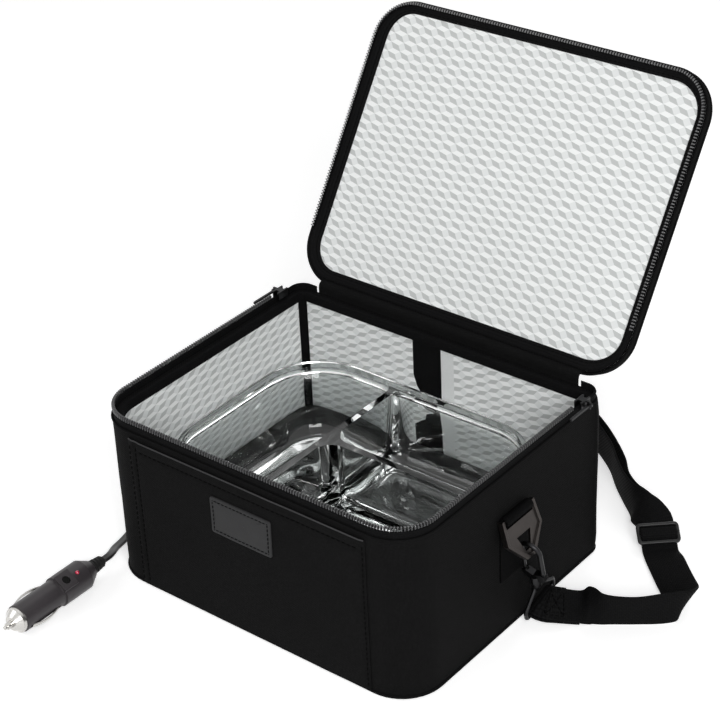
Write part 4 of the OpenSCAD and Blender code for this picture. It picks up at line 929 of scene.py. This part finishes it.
def make_pocket():
    half, top = POCKET_HALF, POCKET_TOP
    xs = near_lines(list(np.linspace(-half, half, 43)), POCKET_SIDES)
    xs = sorted(set([round(float(x), 3) for x in xs]))
    zs = near_lines(list(np.linspace(2.0, top, 26)), [POCKET_ROW])
    zs = sorted(set([round(float(z), 3) for z in zs]))
    b = Build()
    b.grid([[(x, pocket_y(x, z), z) for x in xs] for z in zs], uv=[[(x, z) for x in xs] for z in zs])
    # back face, so the pocket is a closed sheet
    back = [[(x, front_y(x, z) + 0.2, z) for x in xs] for z in zs]
    start = len(b.verts)
    b.grid([r[::-1] for r in back], uv=[[(x, z) for x in xs[::-1]] for z in zs])
    m, r = len(xs), len(zs)
    for i in range(r - 1):
        b.faces.append((i * m, (i + 1) * m, start + (i + 1) * m + m - 1, start + i * m + m - 1))
        b.faces.append(((i + 1) * m + m - 1, i * m + m - 1, start + i * m, start + (i + 1) * m))
    for j in range(m - 1):
        b.faces.append(((r - 1) * m + j, (r - 1) * m + j + 1, start + (r - 1) * m + m - 2 - j,
                        start + (r - 1) * m + m - 1 - j))
        b.faces.append((j + 1, j, start + m - 1 - j, start + m - 2 - j))
    obj = b.object("pocket", M["fabric"], sharp=45)
    finish_piece(obj, "bag", ["front_pocket"])

    # the folded edge along the pocket's mouth
    across = np.linspace(-half + 0.6, half - 0.6, 60)
    ring = [2 * math.pi * k / 8 for k in range(8)]
    b = Build()
    b.grid([[(x, pocket_y(x, top - 1) - 0.05 + 0.5 * math.cos(a), top - 0.1 + 0.5 * math.sin(a)) for a in ring]
            for x in across], close_u=True, uv=[[(k * 0.4, x) for k in range(8)] for x in across])
    finish_piece(b.object("pocket_hem", M["hem"]), "bag")

    s = Build()
    out = 0.05
    stitch_line(s, [(x, pocket_y(x, POCKET_ROW) - out, POCKET_ROW) for x in np.linspace(-95, 101, 60)], (0, -1, 0),
                3.0, 1.3, 0.36)
    for x, low, high in ((POCKET_SIDES[0], 5, 121), (POCKET_SIDES[1], 5, 121), (POCKET_SIDES[2], 5, 121)):
        stitch_line(s, [(x, pocket_y(x, z) - out, z) for z in np.linspace(low, high, 60)], (0, -1, 0), 3.0, 1.3, 0.36)
    finish_piece(s.object("pocket_stitches", M["thread"]), "bag")


make_pocket()


def make_patch():
    w, h, r, cx, cz = 54.0, 29.0, 1.8, -1.0, 94.5
    edge = outline(w, h, r, r, 0, corner=6, edge=3.0)
    rings = [(0.0, -0.3), (0.0, 0.55), (0.15, 0.95), (0.6, 1.15), (1.2, 1.15), (2.0, 1.0), (2.5, 0.72), (3.0, 1.0),
             (4.5, 1.15)]

    def face(x, z, out):
        return (x, min(pocket_y(x, z), front_y(x, z) - POCKET_PROUD - 0.4) - out, z)

    rows, uv = [], []
    for inset, out in rings:
        row = [(cx + x - nx * inset, cz + y - ny * inset) for x, y, nx, ny, _ in edge]
        rows.append([face(q[0], q[1], out) for q in row])
        uv.append(row)
    for f in (0.7, 0.4, 0.15):
        row = [(cx + (x - nx * 4.5) * f, cz + (y - ny * 4.5) * f) for x, y, nx, ny, _ in edge]
        rows.append([face(q[0], q[1], 1.2) for q in row])
        uv.append(row)
    b = Build()
    b.grid(rows, close_u=True, uv=uv)
    n = len(edge)
    b.faces.append(tuple(range((len(rows) - 1) * n, len(rows) * n)))
    finish_piece(b.object("patch", M["leather"], sharp=60), "bag", ["label_patch"])
    s = Build()
    loop = [face(cx + x - nx * 2.5, cz + y - ny * 2.5, 0.85) for x, y, nx, ny, _ in edge]
    stitch_line(s, loop + loop[:1], (0, -1, 0), 2.3, 1.1, 0.36)
    finish_piece(s.object("patch_stitches", M["thread"]), "bag")


make_patch()


# ---------------------------------------------------------------- lid
def make_lid():
    base = lid_outline(0, corner=16, edge=12.0)
    n = len(base)
    profile = [(1.2, LID_EDGE_Z + 6), (1.2, LID_EDGE_Z + 0.5), (0.8, LID_EDGE_Z), (0.2, LID_EDGE_Z + 0.2),
               (0.0, LID_EDGE_Z + 1.2), (-0.2, LID_EDGE_Z + 4), (0.1, LID_TOP - 2.6), (0.9, LID_TOP - 1.1),
               (2.4, LID_TOP - 0.3), (5.0, LID_TOP)]
    rows = [[(x - nx * i, y - ny * i, z) for x, y, nx, ny, _ in base] for i, z in profile]
    uv = [[(q[4], p[1] - p[0]) for q in base] for p in profile]
    b = Build()
    b.grid(rows, close_u=True, uv=uv)
    start = len(b.verts)
    top = []
    for f in (1.0, 0.93, 0.82, 0.66, 0.48, 0.3, 0.12):
        row = []
        for x, y, _, _, _ in [(q[0] - q[2] * 5, q[1] - q[3] * 5, 0, 0, 0) for q in base]:
            px, py = x * f, y * f
            crown = 1.6 * max(0, 1 - (px / 146) ** 2) * max(0, 1 - (py / 115) ** 2) + (ruffle(px, py, 3, 50, 0.5, 5) if f < 0.95 else 0)
            row.append((px, py, LID_TOP + (crown if f < 1 else 0)))
        top.append(row)
    b.grid(top, close_u=True, uv=[[(p[0], p[1]) for p in row] for row in top])
    last = start + 6 * n
    b.faces.append(tuple(range(last, last + n)))
    obj = b.object("lid_shell", M["fabric"], sharp=60)
    obj.data.transform(LID_MATRIX)
    finish_piece(obj, "lid", ["lid_cover"])
    make_welt("lid_piping", base, LID_TOP - 1.4, 1.1, -0.3, "lid", lid=True, flush=1.2)
    make_welt("lid_edge_piping", base, LID_EDGE_Z + 0.6, 1.0, -0.1, "lid", lid=True)

    # zip tape of the lid
    fine_base = lid_outline(0, **fine)
    z0, z1 = LID_ZIP_Z + 3.1, LID_LINER_TOP - 1
    band("tape_upper", fine_base, [(TAPE_IN, z1), (TAPE_IN, z0 + 0.3), (TAPE_IN + 0.4, z0), (TAPE_IN + TAPE_T, z0 + 0.3),
                                   (TAPE_IN + TAPE_T, z1)], "tape", "lid", replaces=["zip_tape_upper"], lid=True)
    b = Build()
    rows, uv = [], []
    for share, fixed, z in ((0, 2.3, 0.4), (0, 2.3, -1.6), (0, 3.2, -2.1), (1, -1.5, -1.7), (1, -0.4, -1.2),
                            (1, 0, -0.4), (1, 0, 0.2)):
        row = []
        for x, y, nx, ny, _ in fine_base:
            i = share * edging_width(x, y, nx, ny) + fixed
            row.append((x - nx * i, y - ny * i, z1 + z))
        rows.append(row)
        uv.append([(q[4], 8 * share + fixed - z) for q in fine_base])
    b.grid(rows, close_u=True, close_v=True, uv=uv)
    obj = b.object("lid_edging", M["tape"], sharp=50)
    obj.data.transform(LID_MATRIX)
    finish_piece(obj, "lid", ["lid_binding"])

    # the lining panel, a little full between its edges
    rows, uv = [], []
    inner = lid_outline(2.4, corner=16, edge=12.0)
    zl = LID_LINER_TOP - 0.8
    for f in (1.0, 0.96, 0.9, 0.8, 0.66, 0.5, 0.33, 0.15):
        row = []
        for x, y, _, _, _ in inner:
            px, py = x * f, y * f
            full = max(0, 1 - (px / 145) ** 2) * max(0, 1 - (py / 115) ** 2)
            row.append((px, py, zl - 1.1 * full ** 0.6 * (1 if f < 1 else 0) - ruffle(px, py, 9, 45, 0.4, 2) * full))
        rows.append(row)
        uv.append([(p[0], -p[1]) for p in row])
    b = Build()
    b.grid(rows, close_u=True, uv=uv)
    m = len(inner)
    b.faces.append(tuple(range(7 * m, 8 * m)))
    b.faces = [f[::-1] for f in b.faces]
    obj = b.object("lid_lining", M["lining"], sharp=60)
    obj.data.transform(LID_MATRIX)
    finish_piece(obj, "lid", ["lid_liner"])
    # stitches along the edging
    s = Build()
    loop = []
    for x, y, nx, ny, _ in fine_base:
        i = edging_width(x, y, nx, ny) - 2.2
        loop.append((x - nx * i, y - ny * i, z1 - 1.95))
    stitch_line(s, loop + loop[:1], (0, 0, -1), 2.6, 1.4, 0.22)
    obj = s.object("lid_stitches", M["thread"])
    obj.data.transform(LID_MATRIX)
    finish_piece(obj, "lid")


make_lid()


def make_hinge():
    """The fabric hinge: one strip from inside the bag's tape to inside the lid's."""
    half = HINGE_W / 2
    y_in = BACK_Y - TAPE_IN - TAPE_T / 2
    low = [(y_in, TAPE_LOW), (y_in, 128), (y_in, 134), (y_in + 0.2, 137.5), (y_in + 1.0, 139.4), (HINGE_Y, HINGE_Z)]
    high = [(y_in + 1.0, HINGE_Z + 0.9), (y_in + 0.2, HINGE_Z + 2.0), (y_in, HINGE_Z + 4.4), (y_in, HINGE_Z + 7.5)]
    cut = []
    for y, z in high:
        v = LID_MATRIX @ Vector((0, y * MM, z * MM))
        cut.append((v.y / MM, v.z / MM))
    line = low + cut
    line3 = catmull([(0, y, z) for y, z in line], 4)
    p = np.array(line3)
    xs = np.linspace(-half, half, 24)
    rows, uv, s = [], [], 0.0
    normals = []
    for i in range(len(p)):
        t = unit(p[min(i + 1, len(p) - 1)] - p[max(i - 1, 0)])
        normals.append(np.array([0, t[2], -t[1]]))
        if i:
            s += np.linalg.norm(p[i] - p[i - 1])
        rows.append([(x, p[i][1], p[i][2]) for x in xs])
        uv.append([(x, s) for x in xs])
    b = Build()
    half_t = 0.45
    front = [[np.array(q) + normals[i] * half_t for q in row] for i, row in enumerate(rows)]
    rear = [[np.array(q) - normals[i] * half_t for q in row][::-1] for i, row in enumerate(rows)]
    b.grid([f + r for f, r in zip(front, rear)], close_u=True, uv=[u + u[::-1] for u in uv])
    obj = b.object("hinge_strip", M["fabric"], sharp=60)
    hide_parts("lid_hinge_band", "lid_hinge_flap")
    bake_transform(obj)
    return obj


make_hinge()

def make_foam():
    """The foam behind the linings: a soft plate in the lid and a tub in the bag."""
    base = lid_outline(TAPE_IN + TAPE_T + 0.2, corner=12, edge=14.0)
    n = len(base)
    low, high = LID_LINER_TOP, LID_TOP - 1.2
    rows = [[(x - nx * i, y - ny * i, z) for x, y, nx, ny, _ in base] for i, z in
            ((4, low), (1.2, low + 0.2), (0.2, low + 1.2), (0, (low + high) / 2), (0.2, high - 1.2), (1.2, high - 0.2),
             (4, high))]
    rows += [[(x * share, y * share, high + z) for x, y, _ in rows[6]] for share, z in ((0.7, 0.6), (0.4, 1.0), (0.15, 1.2))]
    b = Build()
    b.grid(rows, close_u=True)
    last = (len(rows) - 1) * n
    b.faces.append(tuple(range(n))[::-1])
    b.faces.append(tuple(range(last, last + n)))
    obj = b.object("lid_pad", M["foam"], sharp=60)
    obj.data.transform(LID_MATRIX)
    finish_piece(obj, "lid", ["lid_foam"])

    base = bag_outline(0, corner=12, edge=14.0)
    n = len(base)
    outer, inner, behind_tape = SHELL_T + 0.4, CAVITY_IN - 0.8, TAPE_IN + TAPE_T + 0.3
    b = Build()
    b.grid([[(x - nx * i, y - ny * i, z) for x, y, nx, ny, _ in base] for i, z in
            ((outer + 1, 3.4), (outer, 4.4), (outer, 60), (outer, TAPE_LOW - 2), (behind_tape, TAPE_LOW - 0.5),
             (behind_tape, WALL_TOP - 1.2), (behind_tape + 0.6, WALL_TOP - 0.5), (inner - 0.6, WALL_TOP - 0.5),
             (inner, WALL_TOP - 1.2), (inner, 60), (inner, 6.4))], close_u=True)
    b.faces.append(tuple(range(n))[::-1])
    b.faces.append(tuple(range(10 * n, 11 * n)))
    obj = b.object("wall_pad", M["foam"], sharp=60)
    finish_piece(obj, "bag", ["wall_foam"])


make_foam()


# ---------------------------------------------------------------- strap
def hook_frame():
    edge, lean = 33 - 5.5, math.radians(RING_LEAN)
    l, t = math.radians(HOOK_LEAN), math.radians(HOOK_TILT)
    axis = np.array([math.sin(l), -math.sin(t) * math.cos(l), math.cos(t) * math.cos(l)])
    top = np.array([BAR_X + edge * math.sin(lean) + 0.7, 2.0, RING_Z - edge * math.cos(lean)]) + 3.3 * axis
    return top - HOOK_LEN * axis, axis


SWIVEL, HOOK_AXIS = hook_frame()
EYE = SWIVEL - EYE_DROP * HOOK_AXIS
WRAP = 1.5 + 0.3 + STRAP_T / 2
BAR_DIR = np.array([0, math.cos(math.radians(HOOK_TILT)), math.sin(math.radians(HOOK_TILT))])
S_AT = np.array([173.2, 137.6, 11.1])
S_TURN, S_RISE = math.radians(132.3), math.radians(26.8)


def slider_point(x, z):
    ex = np.array([math.cos(S_RISE) * math.cos(S_TURN), math.cos(S_RISE) * math.sin(S_TURN), math.sin(S_RISE)])
    ez = np.array([-math.sin(S_RISE) * math.cos(S_TURN), -math.sin(S_RISE) * math.sin(S_TURN), math.cos(S_RISE)])
    return S_AT + x * ex + z * ez


ACROSS = np.array([math.sin(S_TURN), -math.cos(S_TURN), 0])


def lifted(stations, way):
    mid = [np.array(q[0], float) for q in stations]
    out = []
    for i, (c, w, up) in enumerate(stations):
        t = unit(mid[min(i + 1, len(mid) - 1)] - mid[max(i - 1, 0)])
        out.append((mid[i] + way * up * unit(np.cross(t, w)), w))
    return out


def strap_stations():
    out = np.cross(BAR_DIR, HOOK_AXIS)
    near = [(EYE + d * out, BAR_DIR, WRAP) for d in (0, 5)]
    fold = near + [((160.5, 27.5, 8.6), (-0.22, 0.92, 0.32), 1.8), ((171.5, 36, 6.8), (-0.36, 0.82, 0.36), 1.1)]
    turn = [(EYE - WRAP * (math.cos(a) * HOOK_AXIS + math.sin(a) * out), BAR_DIR)
            for a in np.radians(np.arange(30, 151, 30))]
    run = [((181, 36.8, 12.3), (-0.12, 0.4, 0.9)), ((191.5, 37, 13.5), (0, 0, 1)), ((209.5, 47.5, 13.7), (0.08, -0.1, 0.99)),
           ((223.8, 59.8, 14.1), (0.02, 0, 1)), ((231.2, 68.2, 14.1), (0.12, 0.1, 0.98)),
           ((233, 75.5, 13), (0.34, 0.31, 0.88)), ((228.5, 83, 10.4), (0.54, 0.49, 0.69)),
           ((219, 92, 8.2), (0.62, 0.58, 0.53)), ((208, 102, 7.3), (0.64, 0.62, 0.45)),
           ((195.5, 114, 6.4), (0.68, 0.65, 0.34))]
    weave = [(slider_point(x, z), ACROSS) for x, z in (
        (-13, -3.0), (-10, -2.9), (-6.7, -2.7), (-2.5, 2.5), (0, 2.8), (2.5, 2.5), (6.7, -2.7), (10, -2.9), (13, -2.7))]
    back = [(slider_point(x, z), ACROSS) for x, z in (
        (13, -5.3), (10, -5.2), (6.7, -4.8), (4.2, -3.7), (2.2, -2.8), (-1.5, -2.7))]
    up = (0, 0, 1)
    far = [((149.5, 151.5, 16.6), (0.4, 0.37, 0.84), 1.3), ((140, 158.5, 15), (0.1, 0.1, 0.98), 1.4),
           ((125.5, 170, 14.2), up, 1.7), ((111.5, 184.5, 14), up, 3.0),
           ((95, 200.5, 14), up, 2.4), ((74, 216.5, 14.2), up, 2.6), ((45, 234, 14.4), up, 2.6),
           ((12, 249, 14.4), up, 2.6), ((-24, 258, 14.4), up, 2.6), ((-62, 261, 14.4), up, 2.6),
           ((-98, 255, 14.6), up, 2.6), ((-130, 240, 15.6), up, 2.6), ((-153, 217, 18.2), up, 2.6),
           ((-168, 190, 20.2), up, 2.6), ((-177, 160, 20.2), up, 2.6), ((-182, 130, 18), up, 2.6),
           ((-183, 102, 16), up, 2.6), ((-180, 78, 15.6), (0.04, 0.1, 0.99), 2.6),
           ((-176, 58, 15), (0.2, 0.3, 0.93), 2.6), ((-170, 42, 13), (0.36, 0.66, 0.64), 2.6),
           ((-161.5, 29.5, 10.6), (0.25, 0.88, 0.4), 2.6)]
    far += [(c * (-1, 1, 1), w, v) for c, w, v in near[::-1]]
    left = [(c * (-1, 1, 1), w) for c, w in turn]
    right = lifted(fold, -1)[::-1] + turn
    middle = lifted(fold, 1) + run + weave + lifted(far, -1)
    tails = [len(right), len(right) + len(middle) + len(left)]
    return right + middle + left + lifted(far, 1)[::-1] + back, tails


TO_VIEWER = np.array([0.55, -0.66, 0.51])
TAIL_T, TAIL_LENGTH = 1.3, 21


def make_strap():
    stations, tails = strap_stations()
    six = [np.concatenate([np.array(c, float), unit(w) * 20]) for c, w in stations]
    line = catmull(six, 6)
    pts, t = resample(line, 2.0)
    run = np.concatenate([[0], np.cumsum(np.linalg.norm(np.diff(np.array(line), axis=0), axis=1))])
    half, ht = STRAP_W / 2, STRAP_T / 2
    section = [(-1, 0), (-0.97, 0.8), (-0.9, 1), (-0.45, 1.02), (0, 1), (0.45, 1.02), (0.9, 1), (0.97, 0.8),
               (1, 0), (0.97, -0.8), (0.9, -1), (0.45, -1.02), (0, -1), (-0.45, -1.02), (-0.9, -1), (-0.97, -0.8)]
    rows, uv, frames = [], [], []
    p = pts[:, :3]
    for i in range(len(p)):
        tan = unit(p[min(i + 1, len(p) - 1)] - p[max(i - 1, 0)])
        w = unit(pts[i, 3:])
        n = unit(np.cross(tan, w))
        w = unit(np.cross(n, tan))
        frames.append((p[i], w, n))
        rows.append([p[i] + w * (a * half) + n * (c * ht) for a, c in section])
        uv.append([(a * half, t[i]) for a, c in section])
    b = Build()
    b.grid(rows, close_u=True, uv=uv)
    m = len(section)
    b.faces.append(tuple(range(m - 1, -1, -1)))
    b.faces.append(tuple(range((len(p) - 1) * m, len(p) * m)))
    low = min(v[2] for v in b.verts)
    print("strap length", round(length_of(p)), "lowest", round(low, 2))
    obj = b.object("strap", M["webbing"])
    finish_piece(obj, "bag", ["strap_webbing"])

    # the end of the webbing, folded back at each eye and sewn down with a crossed box
    b, s = Build(), Build()
    for first in tails:
        lo = run[6 * first] + 1
        hi = lo + TAIL_LENGTH
        kept = [i for i in range(len(p)) if lo <= t[i] <= hi]
        side = math.copysign(1, float(np.dot(frames[kept[len(kept) // 2]][2], TO_VIEWER)))

        def at(i, a, c):
            q, w, n = frames[i]
            return q + w * (a * half) + n * side * (ht + c)

        b.grid([[at(i, a, c) for a, c in ((-0.98, 0.02), (-0.98, 0.9), (-0.9, TAIL_T), (0, TAIL_T), (0.9, TAIL_T),
                                          (0.98, 0.9), (0.98, 0.02))] for i in kept],
               close_u=True, uv=[[(q * 4.4 - half, t[i]) for q in range(7)] for i in kept])
        k = len(b.verts)
        b.faces.append(tuple(range(k - 7, k)))
        b.faces.append(tuple(range(k - 7 * len(kept), k - 7 * len(kept) + 7))[::-1])
        box = kept[2:-1]
        up_side = lambda q: side * frames[kept[len(kept) // 2]][2]
        for a in (-0.78, 0.78):
            stitch_line(s, [at(i, a, TAIL_T + 0.05) for i in box], up_side, 2.6, 1.0, 0.34)
        for i in (box[0], box[-1]):
            stitch_line(s, [at(i, a, TAIL_T + 0.05) for a in np.linspace(-0.78, 0.78, 9)], up_side, 2.6, 1.0, 0.34)
        for way in (-1, 1):
            cross = [at(i, way * (-0.78 + 1.56 * j / (len(box) - 1)), TAIL_T + 0.05) for j, i in enumerate(box)]
            stitch_line(s, cross, up_side, 2.6, 1.0, 0.34)
    finish_piece(b.object("strap_tails", M["webbing"], sharp=50), "bag")
    finish_piece(s.object("strap_stitches", M["thread"]), "bag")


def make_strap_slider():
    """The adjuster: a rounded frame with a middle bar that the webbing passes over."""
    across, along, r, wide, thick = 14.5, 7.3, 2.2, 2.7, 2.8
    ex = slider_point(1, 0) - S_AT
    ez = slider_point(0, 1) - S_AT
    loop = [(x, y, nx, ny) for x, y, nx, ny, _ in outline(2 * across, 2 * along, r, r, 0, corner=8, edge=3.0)]
    section = []
    for k in range(16):
        a = 2 * math.pi * k / 16
        section.append((wide / 2 * math.copysign(abs(math.cos(a)) ** 0.6, math.cos(a)),
                        thick / 2 * math.copysign(abs(math.sin(a)) ** 0.6, math.sin(a))))
    b = Build()
    b.grid([[S_AT + ACROSS * (x + nx * c) + ex * (y + ny * c) + ez * d for c, d in section] for x, y, nx, ny in loop],
           close_u=True, close_v=True)
    rows = []
    for x in np.linspace(-across + 0.4, across - 0.4, 12):
        crown = 0.25 * (1 - (x / across) ** 2)
        rows.append([S_AT + ACROSS * x + ex * c * 0.95 + ez * d * (0.95 + crown) for c, d in section])
    b.grid(rows, close_u=True)
    k, m = len(b.verts), len(section)
    b.faces.append(tuple(range(k - m, k)))
    b.faces.append(tuple(range(k - m * 12, k - m * 11))[::-1])
    finish_piece(b.object("strap_adjuster", M["slider"]), "bag", ["strap_slider"])


make_strap_slider()
make_strap()


# ---------------------------------------------------------------- glass dish
def rounded_ring(x0, x1, y0, y1, radii, z, per=14):
    """A rounded rectangle with one radius per corner: right back, left back, left front, right front."""
    out = []
    corners = [(x1, y1, 0), (x0, y1, 90), (x0, y0, 180), (x1, y0, 270)]
    for (cx, cy, a0), r in zip(corners, radii):
        sx = -1 if cx == x1 else 1
        sy = -1 if cy == y1 else 1
        for k in range(per + 1):
            a = math.radians(a0 + 90 * k / per)
            out.append((cx + sx * r + r * math.cos(a), cy + sy * r + r * math.sin(a), z))
    return out


def loft_closed(name, rings):
    b = Build()
    b.grid(rings, close_u=True)
    n = len(rings[0])
    b.faces.append(tuple(range(n - 1, -1, -1)))
    b.faces.append(tuple(range((len(rings) - 1) * n, len(rings) * n)))
    return b.object(name, M["glass"])


def make_dish():
    hw, hd, r0, h = 116.0, 91.0, 50.0, 60.0
    outer = []
    profile = [(22.5, 0.9), (21.6, 0.25), (20.0, 0.0), (18.2, 0.35), (16.6, 1.6), (15.4, 4.0), (13.2, 14.0),
               (10.6, 27.0), (8.2, 39.0), (6.2, 47.0), (4.6, 50.2), (2.6, 51.0), (0.9, 51.4), (0.1, 52.3),
               (0.3, 53.4), (1.3, 54.0), (1.4, 55.2), (1.2, 58.2), (1.6, 59.4), (2.6, 60.0)]
    for inset, z in profile:
        r = max(8.0, r0 - inset)
        outer.append(rounded_ring(-hw + inset, hw - inset, -hd + inset, hd - inset, [r] * 4, DISH_Z + z))
    shell = loft_closed("glass_dish_form", outer)

    px, py, div, dx = 110.8, 85.8, 5.0, 22.0
    inner_r = 14.0
    rim_r = r0 - 5.2

    def pocket(x0, x1, y0, y1):
        out_x0, out_x1 = x0 == -px, x1 == px
        out_y0, out_y1 = y0 == -py, y1 == py
        rings = []
        levels = [(62.0, -0.2), (60.2, -0.2), (59.2, 0.25), (57.0, 0.5), (50.0, 1.0), (38.0, 1.8), (26.0, 2.6),
                  (16.0, 3.3), (10.5, 4.2), (7.6, 5.6), (5.6, 7.8), (4.5, 10.6), (4.1, 14.0)]
        for z, base in levels:
            drop = (60 - min(z, 60)) / 56
            draw = 11.0 * max(0, drop)
            extra = max(0, base - 3.3)
            ix0 = extra + (draw if out_x0 else 0.3 + 1.6 * drop)
            ix1 = extra + (draw if out_x1 else 0.3 + 1.6 * drop)
            iy0 = extra + (draw if out_y0 else 0.3 + 1.6 * drop)
            iy1 = extra + (draw if out_y1 else 0.3 + 1.6 * drop)
            shrink = 0.25 * drop

            def rad(is_x, is_y):
                return (rim_r if is_x and is_y else inner_r) * (1 - shrink)

            radii = [rad(out_x1, out_y1), rad(out_x0, out_y1), rad(out_x0, out_y0), rad(out_x1, out_y0)]
            rings.append(rounded_ring(x0 + ix0, x1 - ix1, y0 + iy0, y1 - iy1, radii, DISH_Z + z))
        return loft_closed("pocket_form", rings[::-1])

    cutters = [pocket(-px, -dx - div / 2, -py, py), pocket(-dx + div / 2, px, -py, -div / 2),
               pocket(-dx + div / 2, px, div / 2, py)]
    for c in cutters:
        mod = shell.modifiers.new("cut", "BOOLEAN")
        mod.operation = "DIFFERENCE"
        mod.solver = "EXACT"
        mod.object = c
    bpy.context.view_layer.update()
    mesh = bpy.data.meshes.new_from_object(shell.evaluated_get(bpy.context.evaluated_depsgraph_get()))
    obj = bpy.data.objects.new("dish", mesh)
    bpy.context.scene.collection.objects.link(obj)
    for o in cutters + [shell]:
        bpy.data.objects.remove(o)
    bm = bmesh.new()
    bm.from_mesh(mesh)
    bmesh.ops.remove_doubles(bm, verts=bm.verts, dist=0.00002)
    bmesh.ops.recalc_face_normals(bm, faces=bm.faces)
    bm.to_mesh(mesh)
    bm.free()
    mesh.polygons.foreach_set("use_smooth", [True] * len(mesh.polygons))
    mesh.set_sharp_from_angle(angle=math.radians(40))
    mesh.materials.clear()
    mesh.materials.append(M["glass"])
    finish_piece(obj, "dish", ["glass_dish"])


make_dish()


# ---------------------------------------------------------------- stage and light
def make_stage():
    b = Build()
    rows = []
    size = 6000.0
    for y in (-size, size):
        rows.append([(-size, y, -0.3), (size, y, -0.3)])
    b.grid(rows)
    floor = b.object("floor", None, smooth=False)
    m, nt, bsdf = new_material("floor_white")
    bsdf.inputs["Base Color"].default_value = (0.9, 0.9, 0.9, 1)
    bsdf.inputs["Roughness"].default_value = 0.7
    bsdf.inputs["Specular IOR Level"].default_value = 0.2
    path = nt.nodes.new("ShaderNodeLightPath")
    seen = math_node(nt, "MAXIMUM", path.outputs["Is Camera Ray"],
                     math_node(nt, "MAXIMUM", path.outputs["Is Glossy Ray"], path.outputs["Is Transmission Ray"]))
    nt.links.new(math_node(nt, "MULTIPLY", seen, 0.45), bsdf.inputs["Emission Strength"])
    bsdf.inputs["Emission Color"].default_value = (1, 1, 1, 1)
    floor.data.materials.append(m)


make_stage()


WORLD_LIGHT = 0.3


def make_lights():
    world = bpy.data.worlds.new("studio")
    bpy.context.scene.world = world
    world.use_nodes = True
    nt = world.node_tree
    nt.nodes.clear()
    out = nt.nodes.new("ShaderNodeOutputWorld")
    bg = nt.nodes.new("ShaderNodeBackground")
    path = nt.nodes.new("ShaderNodeLightPath")
    seen = math_node(nt, "MAXIMUM", path.outputs["Is Camera Ray"],
                     math_node(nt, "MAXIMUM", path.outputs["Is Glossy Ray"], path.outputs["Is Transmission Ray"]))
    strength = math_node(nt, "ADD", math_node(nt, "MULTIPLY", seen, 1 - WORLD_LIGHT), WORLD_LIGHT)
    nt.links.new(strength, bg.inputs["Strength"])
    bg.inputs["Color"].default_value = (1, 1, 1, 1)
    nt.links.new(bg.outputs[0], out.inputs[0])

    def area(name, place, target, size, power):
        data = bpy.data.lights.new(name, "AREA")
        data.shape = "RECTANGLE"
        data.size, data.size_y = size
        data.energy = power
        lamp = bpy.data.objects.new(name, data)
        bpy.context.scene.collection.objects.link(lamp)
        lamp.location = place
        direction = Vector(target) - Vector(place)
        lamp.rotation_euler = direction.to_track_quat("-Z", "Y").to_euler()

    area("key", (1.45, -1.36, 1.3), (0, 0, 0.1), (1.1, 1.0), 40)
    area("fill", (-1.3, -1.2, 1.3), (0, 0, 0.1), (1.0, 1.0), 7)
    area("back", (-0.2, 1.6, 1.7), (0, 0, 0.15), (1.4, 0.8), 8)


make_lights()

scene = bpy.context.scene
scene.view_settings.view_transform = "Standard"
